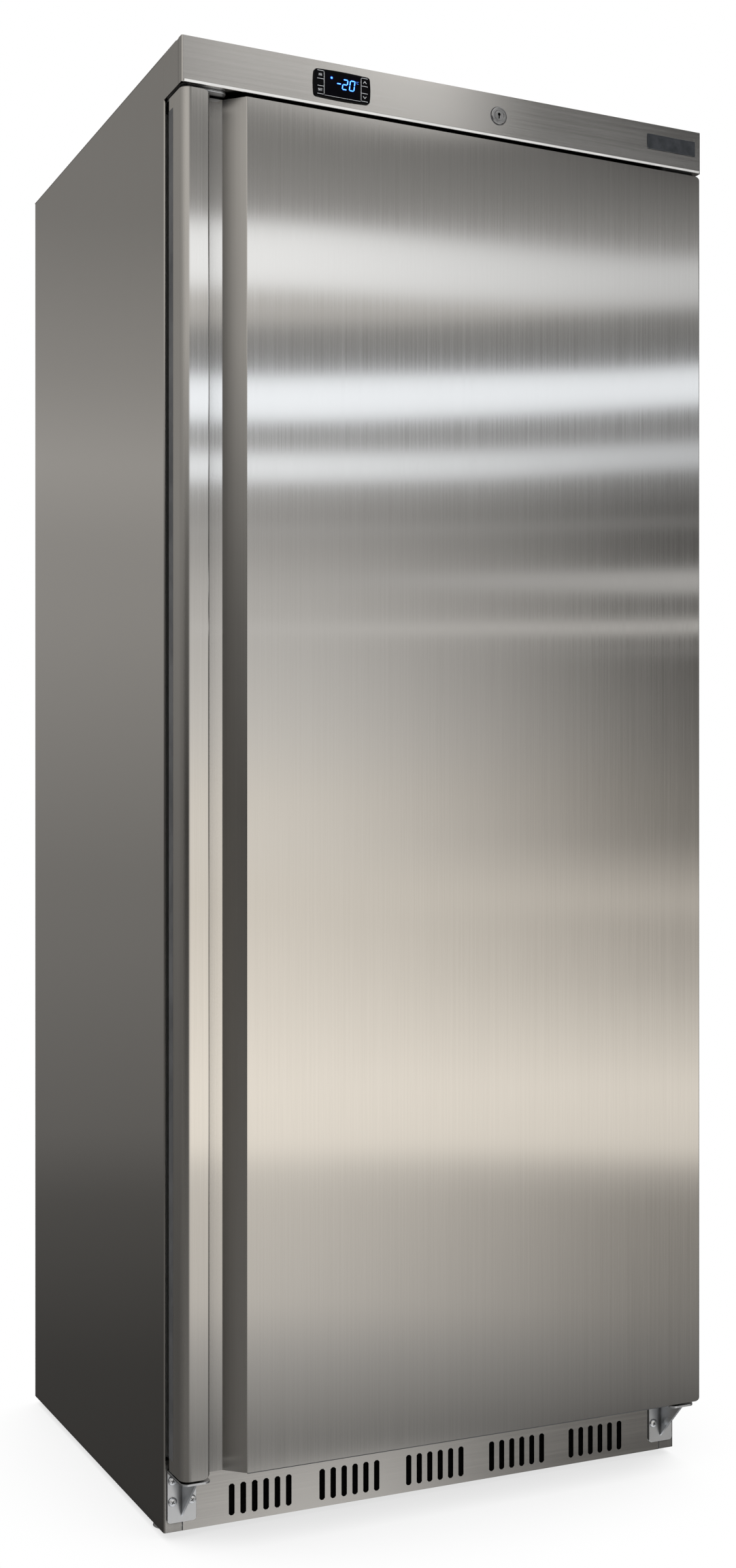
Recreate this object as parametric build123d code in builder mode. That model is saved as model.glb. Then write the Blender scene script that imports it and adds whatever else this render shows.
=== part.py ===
"""Upright service freezer: steel case, insulated cabin, one hinged door, static cold shelves.

Millimetres, +Z up, front towards -Y. The origin is on the floor, under the middle of the whole
object's box. Every place is worked out from the sizes in the first section.
"""
from build123d import *
import math
import os

os.makedirs("parts", exist_ok=True)

# ---------------------------------------------------------------- case
CASE_WIDTH = 777.0
CASE_DEPTH = 695.0  # face of the door and canopy to the rear edges of the sides
CASE_HEIGHT = 1895.0  # floor to roof
FLOOR_GAP = 10.0  # from the floor to the lower edge of the case
PLINTH_HEIGHT = 95.0
CANOPY_HEIGHT = 58.0
CANOPY_DEPTH = 68.0  # how far the canopy stands in front of the case
SHEET = 1.0  # outer steel sheet
FLANGE = 24.5  # fold of a side panel across the front
REAR_FOLD = 15.0  # fold of a side panel across the back
BEND = 2.5  # outside radius of the folds that show
SEAM = 0.5  # gap where two sheets meet edge to edge

# ---------------------------------------------------------------- cabin and its insulation
SIDE_WALL = 61.0  # outside of the case to the cabin
FLOOR_WALL = 60.0  # underside of the case to the cabin floor
ROOF_WALL = 105.0
BACK_WALL = 56.0  # back panel to the cabin
LINER = 1.2
CONDENSER_RECESS = 40.0  # the back panel lies this far inside the rear edges
BAY_DEPTH = 250.0  # machine bay, from the rear edges
BAY_HEIGHT = 300.0  # its ceiling above the floor
HUMP_WALL = 55.0  # insulation over and before the machine bay
BREAKER_FACE = 20.0  # plastic strip round the cabin mouth, above and below
BREAKER_DEPTH = 15.0
BREAKER = 2.5

# ---------------------------------------------------------------- door
DOOR_THICK = 50.0
DOOR_REVEAL = 1.0  # the door is this much inside the case at each side
DOOR_TOP_GAP = 5.0
DOOR_DROP = 9.0  # the door hangs this far over the plinth
DOOR_SHEET = 1.0
DOOR_CORNER = 8.0  # lower and upper corners at the hinge side
DOOR_RETURN = 14.0  # fold of the door skin round its back
GRIP_WIDTH = 37.0  # front of the grip, from the door's left side
GRIP_RADIUS = 12.0
GRIP_CORNER = 10.0  # rounded ends of the grip
GROOVE_DEPTH = 24.0
GROOVE_UNDERCUT = 5.0  # the grip leans over the finger groove
GROOVE_FLOOR = 25.0
GROOVE_SLOPE = 24.0  # width of the slope from the groove floor to the face
FOLD = 2.5
LINER_SHEET = 2.0
LINER_MARGIN = 6.0  # inner door panel, inside the door's edges
LINER_RAISE = 8.0
LINER_DRAFT = 20.0  # degrees on the raised field's sides

# ---------------------------------------------------------------- door gasket
GASKET_SIDE = 15.0  # outer edge of the gasket, inside the door's sides
GASKET_DROP = 10.0  # the same, inside its top and bottom
GASKET_FOOT = 26.0
GASKET_NECK = 12.0
GASKET_HEAD = 22.0
GASKET_FOOT_THICK = 3.0
GASKET_HEAD_THICK = 6.0
SEAL_GAP = 0.3

# ---------------------------------------------------------------- hinges
PIN_INSET = 14.0  # hinge pin, from the side of the case
PIN_REACH = 40.0  # hinge pin, in front of the case
PIN_DIAMETER = 12.0
PIN_IN_DOOR = 15.0
RUNNING = 0.05  # radial clearance of what turns
BUSH_WALL = 3.0
BUSH_FLANGE = 2.0
BRACKET_THICK = 3.0
BRACKET_WIDTH = 39.0
BRACKET_INSET = 4.0
BRACKET_DROP = 5.6  # lower door edge down to the bracket's tab
BRACKET_FOOT = 12.5  # lower edge of the case up to the bracket
TAB_REACH = 60.0
TAB_CORNER = 9.0
GUSSET_START = 8.0
SCREW_SPREAD = 26.0
SCREW_RISE = 27.0
SCREW_LOW = 27.5  # lower screws above the bracket's lower edge
SCREW_HEAD = 11.0
SCREW_HEAD_HIGH = 3.2
SCREW_TAPER = 20.0  # degrees on the head's side
SCREW_FLAT_COUNT = 12  # flats round the head
SCREW_SHANK = 5.0
SCREW_LENGTH = 12.0
TOP_PLATE_WIDTH = 60.0
TOP_PLATE_LEAF = 42.0

# ---------------------------------------------------------------- plinth grille
SLOT_WIDTH = 8.0
SLOT_HEIGHT = 41.0
SLOT_LOW = 9.0  # slot above the lower edge of the case
SLOT_PITCH = 16.0
SLOTS_IN_GROUP = 6
GROUP_PITCH = 128.0
GROUPS = 5
GRILLE_FOLD = 14.0

# ---------------------------------------------------------------- canopy, controller and lock
CANOPY_TOP_FOLD = 20.0
CANOPY_SIDE_FOLD = 12.0
BEZEL_PROUD = 3.5
BEZEL_WIDTH = 80.0
BEZEL_HEIGHT = 36.5
BEZEL_BULGE = 1.2
BEZEL_CORNER = 4.0
CONTROLLER_X = 218.0  # centre, from the left side of the case
CONTROLLER_CASE = (71.0, 29.0, 55.0)
CASE_FIT = 0.2
LENS_WIDTH = 47.0
LENS_HEIGHT = 29.0
LENS_THICK = 1.0
KEY_WIDTH = 10.0
KEY_HEIGHT = 9.6
KEY_THICK = 2.7
KEY_COLUMN = 31.5  # key centres each side of the middle
KEY_ROW = 9.8
KEY_GAP = 0.25
LOCK_X = 449.5  # from the left side of the case
LOCK_FLANGE = 23.0
LOCK_PROUD = 2.5
LOCK_BARREL = 19.0
LOCK_LENGTH = 20.0
LOCK_PLUG = 14.0
LOCK_SHANK = 7.0  # plug behind the barrel, in the tongue
LOCK_NUT = 25.0
LOCK_NUT_THICK = 4.0
KEYWAY = (1.6, 8.0, 6.0)  # width, height and depth
TONGUE_REACH = 46.0
TONGUE_WIDTH = 12.0
TONGUE_THICK = 2.5
TONGUE_ROOM = 1.5
KEEPER_WALL = 1.0
KEEPER_ROOM = 4.0

# ---------------------------------------------------------------- base, feet and rollers
RAIL_WIDTH = 46.0
RAIL_HEIGHT = 40.0
RAIL_SHEET = 2.0
RAIL_SETBACK = 18.0
FOOT_SETBACK = 55.0
FOOT_PAD = 38.0
FOOT_PAD_THICK = 5.0
FOOT_TAPER = 20.0  # degrees on the pad's side
FOOT_STUD = 10.0
FOOT_STUD_TOP = 24.0  # stud above the lower edge of the case
FOOT_HEX = 17.0
NUT_HEIGHT = 8.0
ROLLER = 36.0
ROLLER_WIDTH = 20.0
ROLLER_SETBACK = 60.0
ROLLER_AXLE = 8.0
ROLLER_SIDE_GAP = 0.5
TRAY_SHEET = 2.0
TRAY_DEPTH = 225.0
TRAY_LIP = 12.0
TRAY_BACK = 16.0

# ---------------------------------------------------------------- cooling circuit
TUBE = 8.0
TUBE_FLAT_COUNT = 4  # flats round the shelf's tube
SHELF_COUNT = 6
SHELF_RUN_COUNT = 4
SHELF_SIDE_GAP = 8.0
SHELF_FRONT = 30.0
SHELF_BACK = 12.0
SHELF_EDGE = 22.0  # first and last runs, inside the wire grid
SHELF_WIRE = 4.0
SHELF_WIRE_COUNT = 9
SHELF_FIRST = 42.0  # lowest shelf above the hump
SHELF_HEADROOM = 215.0
RISER_BEND = 14.0  # room for a riser's bend
RISER_RADIUS = 12.6
CLIP_SHEET = 3.0
CLIP_WIDTH = 16.0
CLIP_HEIGHT = 15.0
CONDENSER_TUBE = 5.0
CONDENSER_RUN_COUNT = 10
CONDENSER_PITCH = 144.0
CONDENSER_MARGIN = 52.0  # lowest run above the machine bay
CONDENSER_SIDE_GAP = 26.0  # its bends inside the cabin's side
CONDENSER_WIRE = 2.4
CONDENSER_WIRE_COUNT = 11
CONDENSER_STAND = 20.0  # middle of its tube, behind the back panel
STANDOFF = (18.0, 14.0)
COMPRESSOR_X = -120.0
COMPRESSOR_RADIUS = 82.0
COMPRESSOR_HIGH = 178.0
COMPRESSOR_CROWN = 22.0  # rise of the domed top
COMPRESSOR_SHOULDER = 28.0
COMPRESSOR_SPLIT = 80.0  # height of the lower half, up to the weld
COMPRESSOR_SEAM = 4.0
GROMMET_HIGH = 14.0
GROMMET = 22.0
GROMMET_SPREAD = (170.0, 100.0)
LINE_TUBE = 8.0
LINE_BEND = 30.0
LINE_RADIUS = 27.0  # bend of the tube to the drier
LINE_FLAT_COUNT = 6
LINE_STUB = 12.0  # stubs of the compressor, beyond its side
LINE_STUB_WALL = 1.5
DRIER = 22.0
DRIER_LENGTH = 120.0
CAPILLARY = 2.5
RELAY = (60.0, 34.0, 56.0)
TERMINAL_BOX = (84.0, 44.0, 60.0)
TERMINAL_INSET = 30.0  # from the outside of the case
TERMINAL_RISE = 84.0  # its middle above the tray
GLAND_BORE = 9.0
GLAND_HEX = 24.0
GLAND_LENGTH = 22.0
GLAND_TAPER = 15.0
PROBE = 6.0
PROBE_LENGTH = 34.0

# ---------------------------------------------------------------- planes and edges that many pieces share
HALF = CASE_WIDTH / 2
Y_FACE = BEZEL_PROUD - (CASE_DEPTH + BEZEL_PROUD) / 2
Y_FRAME = Y_FACE + CANOPY_DEPTH
Y_REAR = Y_FACE + CASE_DEPTH
Y_BACK = Y_REAR - CONDENSER_RECESS
Y_BAY = Y_REAR - BAY_DEPTH
Z_BASE = FLOOR_GAP
Z_SILL = Z_BASE + PLINTH_HEIGHT
Z_TOP = CASE_HEIGHT
Z_CANOPY = Z_TOP - CANOPY_HEIGHT
Z_PANEL = (Z_CANOPY + Z_TOP) / 2  # middle of the canopy's face

CABIN_HALF = HALF - SIDE_WALL
CABIN_FLOOR = Z_SILL + FLOOR_WALL
CABIN_TOP = Z_TOP - ROOF_WALL
CABIN_BACK = Y_BACK - BACK_WALL
HUMP_TOP = BAY_HEIGHT + HUMP_WALL
HUMP_FRONT = Y_BAY - HUMP_WALL

DOOR_LEFT = -HALF + DOOR_REVEAL
DOOR_RIGHT = HALF - DOOR_REVEAL
DOOR_LOW = Z_SILL - DOOR_DROP
DOOR_HIGH = Z_CANOPY - DOOR_TOP_GAP
DOOR_BACK = Y_FACE + DOOR_THICK
DOOR_MIDDLE = (DOOR_LOW + DOOR_HIGH) / 2
PIN_X = HALF - PIN_INSET
PIN_Y = Y_FRAME - PIN_REACH


def keep(piece, name):
    """Name a finished piece and write it."""
    piece.label = name
    export_step(piece, f"parts/{name}.step")


def block(low, high):
    """A box from its lowest to its highest corner."""
    with BuildPart() as made:
        with Locations(tuple((a + b) / 2 for a, b in zip(low, high))):
            Box(*(b - a for a, b in zip(low, high)))
    return made.part


def folded(plane, points, bend, thickness, length, side=Side.LEFT):
    """Sheet folded along a line of points on a plane, its thickness laid to one side of the line."""
    with BuildPart() as sheet:
        with BuildSketch(plane):
            with BuildLine():
                if bend:
                    FilletPolyline(*points, radius=bend)
                else:
                    Polyline(*points)
                offset(amount=thickness, side=side)
            make_face()
        extrude(amount=length)
    return sheet.part


def group(*pieces):
    """Several solids of one kind in one piece."""
    return Compound([solid for piece in pieces for solid in piece.solids()])


def bent_tube(points, bend, diameter, flats=LINE_FLAT_COUNT):
    """A tube with a few flats round it, along straight runs joined by bends."""
    with BuildPart() as tube:
        with BuildLine() as route:
            FilletPolyline(*points, radius=bend)
        with BuildSketch(Plane(route.line @ 0, z_dir=route.line % 0)):
            RegularPolygon(diameter / 2, flats, major_radius=False, rotation=180 / flats)
        sweep(path=route.line)
    return tube.part


def serpentine(plane, runs, pitch, length, tail, tube):
    """A flat winding tube of four flats: runs along the plane's x, with a tail at each end."""
    first = -pitch * (runs - 1) / 2
    with BuildPart() as coil:
        with BuildLine(plane) as route:
            for n in range(runs):
                y = first + n * pitch
                end = length / 2 if n % 2 == 0 else -length / 2
                start_tail = tail if n == 0 else 0
                end_tail = tail if n == runs - 1 else 0
                Line((-end - start_tail, y), (end - end_tail, y))
                if n < runs - 1:
                    turn = end + math.copysign(pitch / 2, end)
                    ThreePointArc((end, y), (turn, y + pitch / 2), (end, y + pitch))
        with BuildSketch(Plane(route.line @ 0, x_dir=plane.y_dir, z_dir=plane.x_dir)):
            Rectangle(tube, tube)
        sweep(path=route.line)
    return coil.part


def wire_grid(plane, length, width, wires, wire):
    """Parallel wires across the tubes, joined by one wire along each end."""
    with BuildPart() as grid:
        with BuildSketch(plane):
            with GridLocations(0, width - wire, 1, 2):
                Rectangle(length, wire)
            with GridLocations((length - wire) / (wires - 1), 0, wires, 1):
                Rectangle(wire, width)
        extrude(amount=wire)
    return grid.part


# ================================================================ outer case
BRACKET_X = HALF - BRACKET_INSET - BRACKET_WIDTH / 2
BRACKET_LOW = Z_BASE + BRACKET_FOOT
TAB_TOP = DOOR_LOW - BRACKET_DROP
SCREW_PLACES = [
    (side * BRACKET_X + dx, BRACKET_LOW + SCREW_LOW + dz)
    for side in (-1, 1)
    for dx in (-SCREW_SPREAD / 2, SCREW_SPREAD / 2)
    for dz in (0, SCREW_RISE)
]
SCREW_HOLE = SCREW_SHANK / 2 + SEAM


def side_panel(side):
    """One side of the case with its folds across the front and the back; side is -1 or 1."""
    sheet = folded(
        Plane.XY.offset(Z_BASE),
        [
            (side * (HALF - FLANGE), Y_FRAME),
            (side * HALF, Y_FRAME),
            (side * HALF, Y_REAR),
            (side * (HALF - REAR_FOLD), Y_REAR),
        ],
        BEND,
        SHEET,
        Z_TOP - SHEET - Z_BASE,
        Side.LEFT if side > 0 else Side.RIGHT,
    )
    with BuildPart() as panel:
        add(sheet)
        with BuildSketch(Plane.XZ.offset(-Y_FRAME)):
            with Locations([(x, z) for x, z in SCREW_PLACES if x * side > HALF - FLANGE]):
                RegularPolygon(SCREW_HOLE, 6)
        extrude(amount=-SHEET, mode=Mode.SUBTRACT)
    return panel.part


keep(side_panel(-1), "side_panel_left")
keep(side_panel(1), "side_panel_right")

# The roof covers the sides and the canopy and turns down between the rear folds.
with BuildPart() as top_panel:
    add(
        block(
            (-HALF, Y_FACE + CANOPY_TOP_FOLD + SEAM, Z_TOP - SHEET),
            (HALF, Y_REAR, Z_TOP),
        )
    )
    add(
        block(
            (-HALF + REAR_FOLD + SEAM, Y_REAR - SHEET, Z_TOP - REAR_FOLD),
            (HALF - REAR_FOLD - SEAM, Y_REAR, Z_TOP - SHEET),
        )
    )
keep(top_panel.part, "top_panel")

keep(
    block(
        (-HALF + SHEET, Y_BACK - SHEET, BAY_HEIGHT + SHEET),
        (HALF - SHEET, Y_BACK, Z_TOP - SHEET),
    ),
    "back_panel",
)

# The pan closes the insulation below: sill, underside, front wall and ceiling of the machine bay.
pan_sheet = folded(
    Plane.YZ.offset(-HALF + SHEET),
    [
        (Y_FRAME, CABIN_FLOOR - BREAKER_FACE),
        (Y_FRAME, Z_SILL),
        (Y_BAY, Z_SILL),
        (Y_BAY, BAY_HEIGHT),
        (Y_BACK, BAY_HEIGHT),
    ],
    None,
    SHEET,
    CASE_WIDTH - 2 * SHEET,
)
with BuildPart() as base_pan:
    add(pan_sheet)
    # The front corners are notched round the folds of the side panels.
    with BuildSketch(Plane.XY.offset(Z_SILL)):
        for side in (-1, 1):
            with Locations((side * (HALF - FLANGE / 2), Y_FRAME + BEND / 2)):
                Rectangle(FLANGE + 2 * SEAM, BEND)
    extrude(amount=FLOOR_WALL, mode=Mode.SUBTRACT)
keep(base_pan.part, "base_pan")

# The header closes the front above the cabin, behind the canopy.
keep(
    block(
        (-HALF + FLANGE + SEAM, Y_FRAME, CABIN_TOP + BREAKER_FACE),
        (HALF - FLANGE - SEAM, Y_FRAME + SHEET, Z_TOP - SHEET),
    ),
    "header_panel",
)

# The grille: a sheet folded back along its top and foot, with groups of upright air slots.
grille_sheet = folded(
    Plane.YZ.offset(-HALF + FLANGE + SEAM),
    [
        (Y_FRAME + GRILLE_FOLD, Z_SILL - SEAM),
        (Y_FRAME, Z_SILL - SEAM),
        (Y_FRAME, Z_BASE),
        (Y_FRAME + GRILLE_FOLD, Z_BASE),
    ],
    None,
    SHEET,
    CASE_WIDTH - 2 * FLANGE - 2 * SEAM,
)
# The round ends of a slot are drawn with three flats each.
with BuildSketch() as air_slot:
    Rectangle(SLOT_WIDTH, SLOT_HEIGHT)
    chamfer(air_slot.vertices(), SLOT_WIDTH / (2 + math.sqrt(2)))
with BuildPart() as plinth_grille:
    add(grille_sheet)
    with BuildSketch(Plane.XZ.offset(-Y_FRAME)):
        with Locations((0, Z_BASE + SLOT_LOW + SLOT_HEIGHT / 2)):
            with GridLocations(GROUP_PITCH, 0, GROUPS, 1):
                with GridLocations(SLOT_PITCH, 0, SLOTS_IN_GROUP, 1):
                    add(air_slot.sketch)
        with Locations([(x, z) for x, z in SCREW_PLACES if abs(x) < HALF - FLANGE]):
            RegularPolygon(SCREW_HOLE, 6)
    extrude(amount=-SHEET, mode=Mode.SUBTRACT)
keep(plinth_grille.part, "plinth_grille")


# ================================================================ cabin
def stepped_prism(half_width, front, floor, hump_front, hump_top, back, top):
    """A block right across the case whose side outline steps up over the machine bay."""
    with BuildPart() as prism:
        with BuildSketch(Plane.YZ.offset(-half_width)):
            with BuildLine():
                Polyline(
                    (front, floor),
                    (hump_front, floor),
                    (hump_front, hump_top),
                    (back, hump_top),
                    (back, top),
                    (front, top),
                    close=True,
                )
            make_face()
        extrude(amount=2 * half_width)
    return prism.part


def mouth_frame(plane, half_width, low, high, depth):
    """A flat block as wide as 2 * half_width, from low to high, going back from the plane."""
    with BuildPart() as frame:
        with BuildSketch(plane):
            with Locations((0, (low + high) / 2)):
                Rectangle(2 * half_width, high - low)
        extrude(amount=-depth)
    return frame.part


FRONT_PLANE = Plane.XZ.offset(-Y_FRAME)
mouth = (CABIN_FLOOR, CABIN_TOP)
cabin_space = stepped_prism(
    CABIN_HALF + LINER,
    Y_FRAME,
    CABIN_FLOOR - LINER,
    HUMP_FRONT + LINER,
    HUMP_TOP - LINER,
    CABIN_BACK + LINER,
    CABIN_TOP + LINER,
)
strip_face_space = mouth_frame(
    FRONT_PLANE,
    HALF - FLANGE,
    CABIN_FLOOR - BREAKER_FACE,
    CABIN_TOP + BREAKER_FACE,
    BREAKER,
)
strip_return_space = mouth_frame(
    FRONT_PLANE,
    CABIN_HALF + BREAKER,
    CABIN_FLOOR - BREAKER,
    CABIN_TOP + BREAKER,
    BREAKER_DEPTH,
)
foam_block = stepped_prism(
    HALF - SHEET,
    Y_FRAME + SHEET,
    Z_SILL + SHEET,
    Y_BAY - SHEET,
    BAY_HEIGHT + SHEET,
    Y_BACK - SHEET,
    Z_TOP - SHEET,
)
with BuildPart() as foam_insulation:
    add(foam_block)
    corners = foam_insulation.edges().filter_by(Axis.Z).group_by(Axis.Y)[0].sort_by(Axis.X)
    chamfer([corners[0], corners[-1]], BEND)
    add(cabin_space, mode=Mode.SUBTRACT)
    add(strip_face_space, mode=Mode.SUBTRACT)
    add(strip_return_space, mode=Mode.SUBTRACT)
keep(foam_insulation.part, "foam_insulation")

# The plastic strip that keeps the cold liner from the steel: a face and a return into the cabin.
strip_face = mouth_frame(
    FRONT_PLANE,
    HALF - FLANGE - SEAM,
    CABIN_FLOOR - BREAKER_FACE + SEAM,
    CABIN_TOP + BREAKER_FACE - SEAM,
    BREAKER,
)
mouth_space = mouth_frame(FRONT_PLANE, CABIN_HALF, CABIN_FLOOR, CABIN_TOP, BREAKER_DEPTH)
with BuildPart() as breaker_strip:
    add(strip_face)
    add(strip_return_space)
    add(mouth_space, mode=Mode.SUBTRACT)
    # It is four profiles: those of the sides stand between those of the floor and the ceiling.
    for level in (CABIN_FLOOR, CABIN_TOP - SEAM):
        with BuildSketch(Plane.XY.offset(level)):
            with Locations((0, Y_FRAME + BREAKER_DEPTH / 2)):
                Rectangle(CASE_WIDTH, 2 * BREAKER_DEPTH)
        extrude(amount=SEAM, mode=Mode.SUBTRACT)
keep(group(breaker_strip.part), "breaker_strip")

LINER_FRONT = Y_FRAME + BREAKER_DEPTH


def liner_side(x):
    """A side wall of the cabin, cut out over the machine bay, from x to x + LINER."""
    with BuildPart() as wall:
        with BuildSketch(Plane.YZ.offset(x)):
            with BuildLine():
                Polyline(
                    (LINER_FRONT, CABIN_FLOOR),
                    (HUMP_FRONT, CABIN_FLOOR),
                    (HUMP_FRONT, HUMP_TOP),
                    (CABIN_BACK, HUMP_TOP),
                    (CABIN_BACK, CABIN_TOP),
                    (LINER_FRONT, CABIN_TOP),
                    close=True,
                )
            make_face()
        extrude(amount=LINER)
    return wall.part


keep(group(liner_side(-CABIN_HALF - LINER), liner_side(CABIN_HALF)), "liner_sides")
keep(
    block(
        (-CABIN_HALF - LINER, CABIN_BACK, HUMP_TOP),
        (CABIN_HALF + LINER, CABIN_BACK + LINER, CABIN_TOP),
    ),
    "liner_back",
)
keep(
    block(
        (-CABIN_HALF - LINER, LINER_FRONT, CABIN_TOP),
        (CABIN_HALF + LINER, CABIN_BACK + LINER, CABIN_TOP + LINER),
    ),
    "liner_top",
)
keep(
    folded(
        Plane.YZ.offset(-CABIN_HALF - LINER),
        [
            (LINER_FRONT, CABIN_FLOOR),
            (HUMP_FRONT, CABIN_FLOOR),
            (HUMP_FRONT, HUMP_TOP),
            (CABIN_BACK + LINER, HUMP_TOP),
        ],
        None,
        LINER,
        2 * (CABIN_HALF + LINER),
        Side.RIGHT,
    ),
    "liner_floor",
)

# ================================================================ canopy with controller and lock
CONTROLLER_CX = CONTROLLER_X - HALF
LOCK_CX = LOCK_X - HALF
CONTROLLER_PLANE = Plane((CONTROLLER_CX, Y_FACE, Z_PANEL), x_dir=(1, 0, 0), z_dir=(0, -1, 0))
LOCK_PLANE = Plane((LOCK_CX, Y_FACE, Z_PANEL), x_dir=(1, 0, 0), z_dir=(0, -1, 0))
TONGUE_LEVEL = LOCK_LENGTH + SEAL_GAP  # front of the tongue behind the canopy's face
TONGUE_Y = Y_FACE + TONGUE_LEVEL + TONGUE_THICK / 2


def tongue_slot(drop):
    """Left and right ends of the slot that the turning tongue needs, drop below its axis."""
    left = LOCK_CX - TONGUE_WIDTH / 2 - TONGUE_ROOM
    sweep_end = math.sqrt(TONGUE_REACH**2 - drop**2) + TONGUE_WIDTH / 2
    return left, LOCK_CX + min(sweep_end, TONGUE_REACH) + TONGUE_ROOM


def slot_block(drop, low, high, wall=0.0):
    """The upright space of that slot from low to high, grown by a wall."""
    left, right = tongue_slot(drop)
    half = TONGUE_THICK / 2 + TONGUE_ROOM + wall
    return block((left - wall, TONGUE_Y - half, low), (right + wall, TONGUE_Y + half, high))


canopy_slot = slot_block(Z_PANEL - Z_CANOPY - SHEET, Z_CANOPY, Z_CANOPY + SHEET)
with BuildPart() as canopy_fascia:
    with Locations((0, (Y_FACE + Y_FRAME) / 2, Z_PANEL)):
        Box(CASE_WIDTH, CANOPY_DEPTH, CANOPY_HEIGHT)
    fillet(canopy_fascia.edges().filter_by(Axis.Z).group_by(Axis.Y)[0], BEND)
    offset(amount=-SHEET, openings=canopy_fascia.faces().sort_by(Axis.Y)[-1])
    # Its side folds end early, the roof starts behind the top fold, and the hinge leaves pass behind.
    with BuildSketch(Plane.XY.offset(Z_CANOPY)):
        with Locations((0, Y_FACE + CANOPY_SIDE_FOLD + CANOPY_DEPTH / 2)):
            with GridLocations(CASE_WIDTH - SHEET, 0, 2, 1):
                Rectangle(SHEET, CANOPY_DEPTH)
    extrude(amount=CANOPY_HEIGHT, mode=Mode.SUBTRACT)
    with BuildSketch(Plane.XY.offset(Z_TOP - SHEET)):
        with Locations((0, Y_FACE + CANOPY_TOP_FOLD + CANOPY_DEPTH / 2)):
            Rectangle(CASE_WIDTH, CANOPY_DEPTH)
    extrude(amount=SHEET, mode=Mode.SUBTRACT)
    with BuildSketch(Plane.XY.offset(Z_CANOPY)):
        with Locations((0, Y_FRAME)):
            Rectangle(CASE_WIDTH, 2 * (BRACKET_THICK + SEAM))
    extrude(amount=SHEET, mode=Mode.SUBTRACT)
    add(canopy_slot, mode=Mode.SUBTRACT)
    with BuildSketch(CONTROLLER_PLANE):
        Rectangle(CONTROLLER_CASE[0] + 2 * CASE_FIT, CONTROLLER_CASE[1] + 2 * CASE_FIT)
    extrude(amount=-SHEET, mode=Mode.SUBTRACT)
    with BuildSketch(LOCK_PLANE):
        Circle(LOCK_BARREL / 2 + RUNNING)
    extrude(amount=-SHEET, mode=Mode.SUBTRACT)
keep(canopy_fascia.part, "canopy_fascia")

keep(
    group(
        *(
            block(
                (min(x), Y_FACE + CANOPY_SIDE_FOLD + SEAM, Z_CANOPY),
                (max(x), Y_FRAME, Z_TOP - SHEET),
            )
            for x in ((-HALF, -HALF + SHEET), (HALF - SHEET, HALF))
        )
    ),
    "canopy_cheeks",
)

with BuildPart() as controller_case:
    with BuildSketch(CONTROLLER_PLANE):
        Rectangle(*CONTROLLER_CASE[:2])
    extrude(amount=-CONTROLLER_CASE[2])
keep(controller_case.part, "controller_case")

KEYS = {
    "key_menu": (-1, 1),
    "key_set": (-1, -1),
    "key_up": (1, 1),
    "key_down": (1, -1),
}
with BuildPart() as controller_bezel:
    with BuildSketch(CONTROLLER_PLANE) as outline:
        x, y = BEZEL_WIDTH / 2, BEZEL_HEIGHT / 2
        inner_x, inner_y = x - BEZEL_BULGE, y - BEZEL_BULGE
        with BuildLine():
            ThreePointArc((-inner_x, inner_y), (0, y), (inner_x, inner_y))
            ThreePointArc((inner_x, inner_y), (x, 0), (inner_x, -inner_y))
            ThreePointArc((inner_x, -inner_y), (0, -y), (-inner_x, -inner_y))
            ThreePointArc((-inner_x, -inner_y), (-x, 0), (-inner_x, inner_y))
        make_face()
        fillet(outline.vertices(), BEZEL_CORNER)
    extrude(amount=BEZEL_PROUD)
    chamfer(controller_bezel.faces().sort_by(Axis.Y)[0].edges(), LENS_THICK)
    with BuildSketch(CONTROLLER_PLANE):
        with Locations([(sx * KEY_COLUMN, sy * KEY_ROW) for sx, sy in KEYS.values()]):
            Rectangle(KEY_WIDTH + 2 * KEY_GAP, KEY_HEIGHT + 2 * KEY_GAP)
    extrude(amount=BEZEL_PROUD, mode=Mode.SUBTRACT)
    with BuildSketch(CONTROLLER_PLANE.offset(BEZEL_PROUD)):
        Rectangle(LENS_WIDTH + 2 * KEY_GAP, LENS_HEIGHT + 2 * KEY_GAP)
    extrude(amount=-LENS_THICK, mode=Mode.SUBTRACT)
keep(controller_bezel.part, "controller_bezel")

with BuildPart() as display_lens:
    with BuildSketch(CONTROLLER_PLANE.offset(BEZEL_PROUD)):
        Rectangle(LENS_WIDTH, LENS_HEIGHT)
    extrude(amount=-LENS_THICK)
keep(display_lens.part, "display_lens")

for name, (sx, sy) in KEYS.items():
    with BuildPart() as key:
        with BuildSketch(CONTROLLER_PLANE.offset(BEZEL_PROUD)):
            with Locations((sx * KEY_COLUMN, sy * KEY_ROW)):
                Rectangle(KEY_WIDTH, KEY_HEIGHT)
        extrude(amount=-KEY_THICK)
    keep(key.part, name)

with BuildPart() as lock_housing:
    with BuildSketch(LOCK_PLANE):
        Circle(LOCK_FLANGE / 2)
    extrude(amount=LOCK_PROUD)
    chamfer(lock_housing.edges().sort_by(Axis.Y)[0], LOCK_PROUD / 3)
    with BuildSketch(LOCK_PLANE):
        Circle(LOCK_BARREL / 2)
    extrude(amount=-LOCK_LENGTH)
    with BuildSketch(LOCK_PLANE.offset(LOCK_PROUD)):
        Circle(LOCK_PLUG / 2 + RUNNING)
    extrude(amount=-LOCK_PROUD - LOCK_LENGTH, mode=Mode.SUBTRACT)
keep(lock_housing.part, "lock_housing")

with BuildPart() as lock_nut:
    with BuildSketch(LOCK_PLANE.offset(-SHEET)):
        RegularPolygon(LOCK_NUT / 2, 6, major_radius=False)
        Circle(LOCK_BARREL / 2 + RUNNING, mode=Mode.SUBTRACT)
    extrude(amount=-LOCK_NUT_THICK)
keep(lock_nut.part, "lock_nut")

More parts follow.
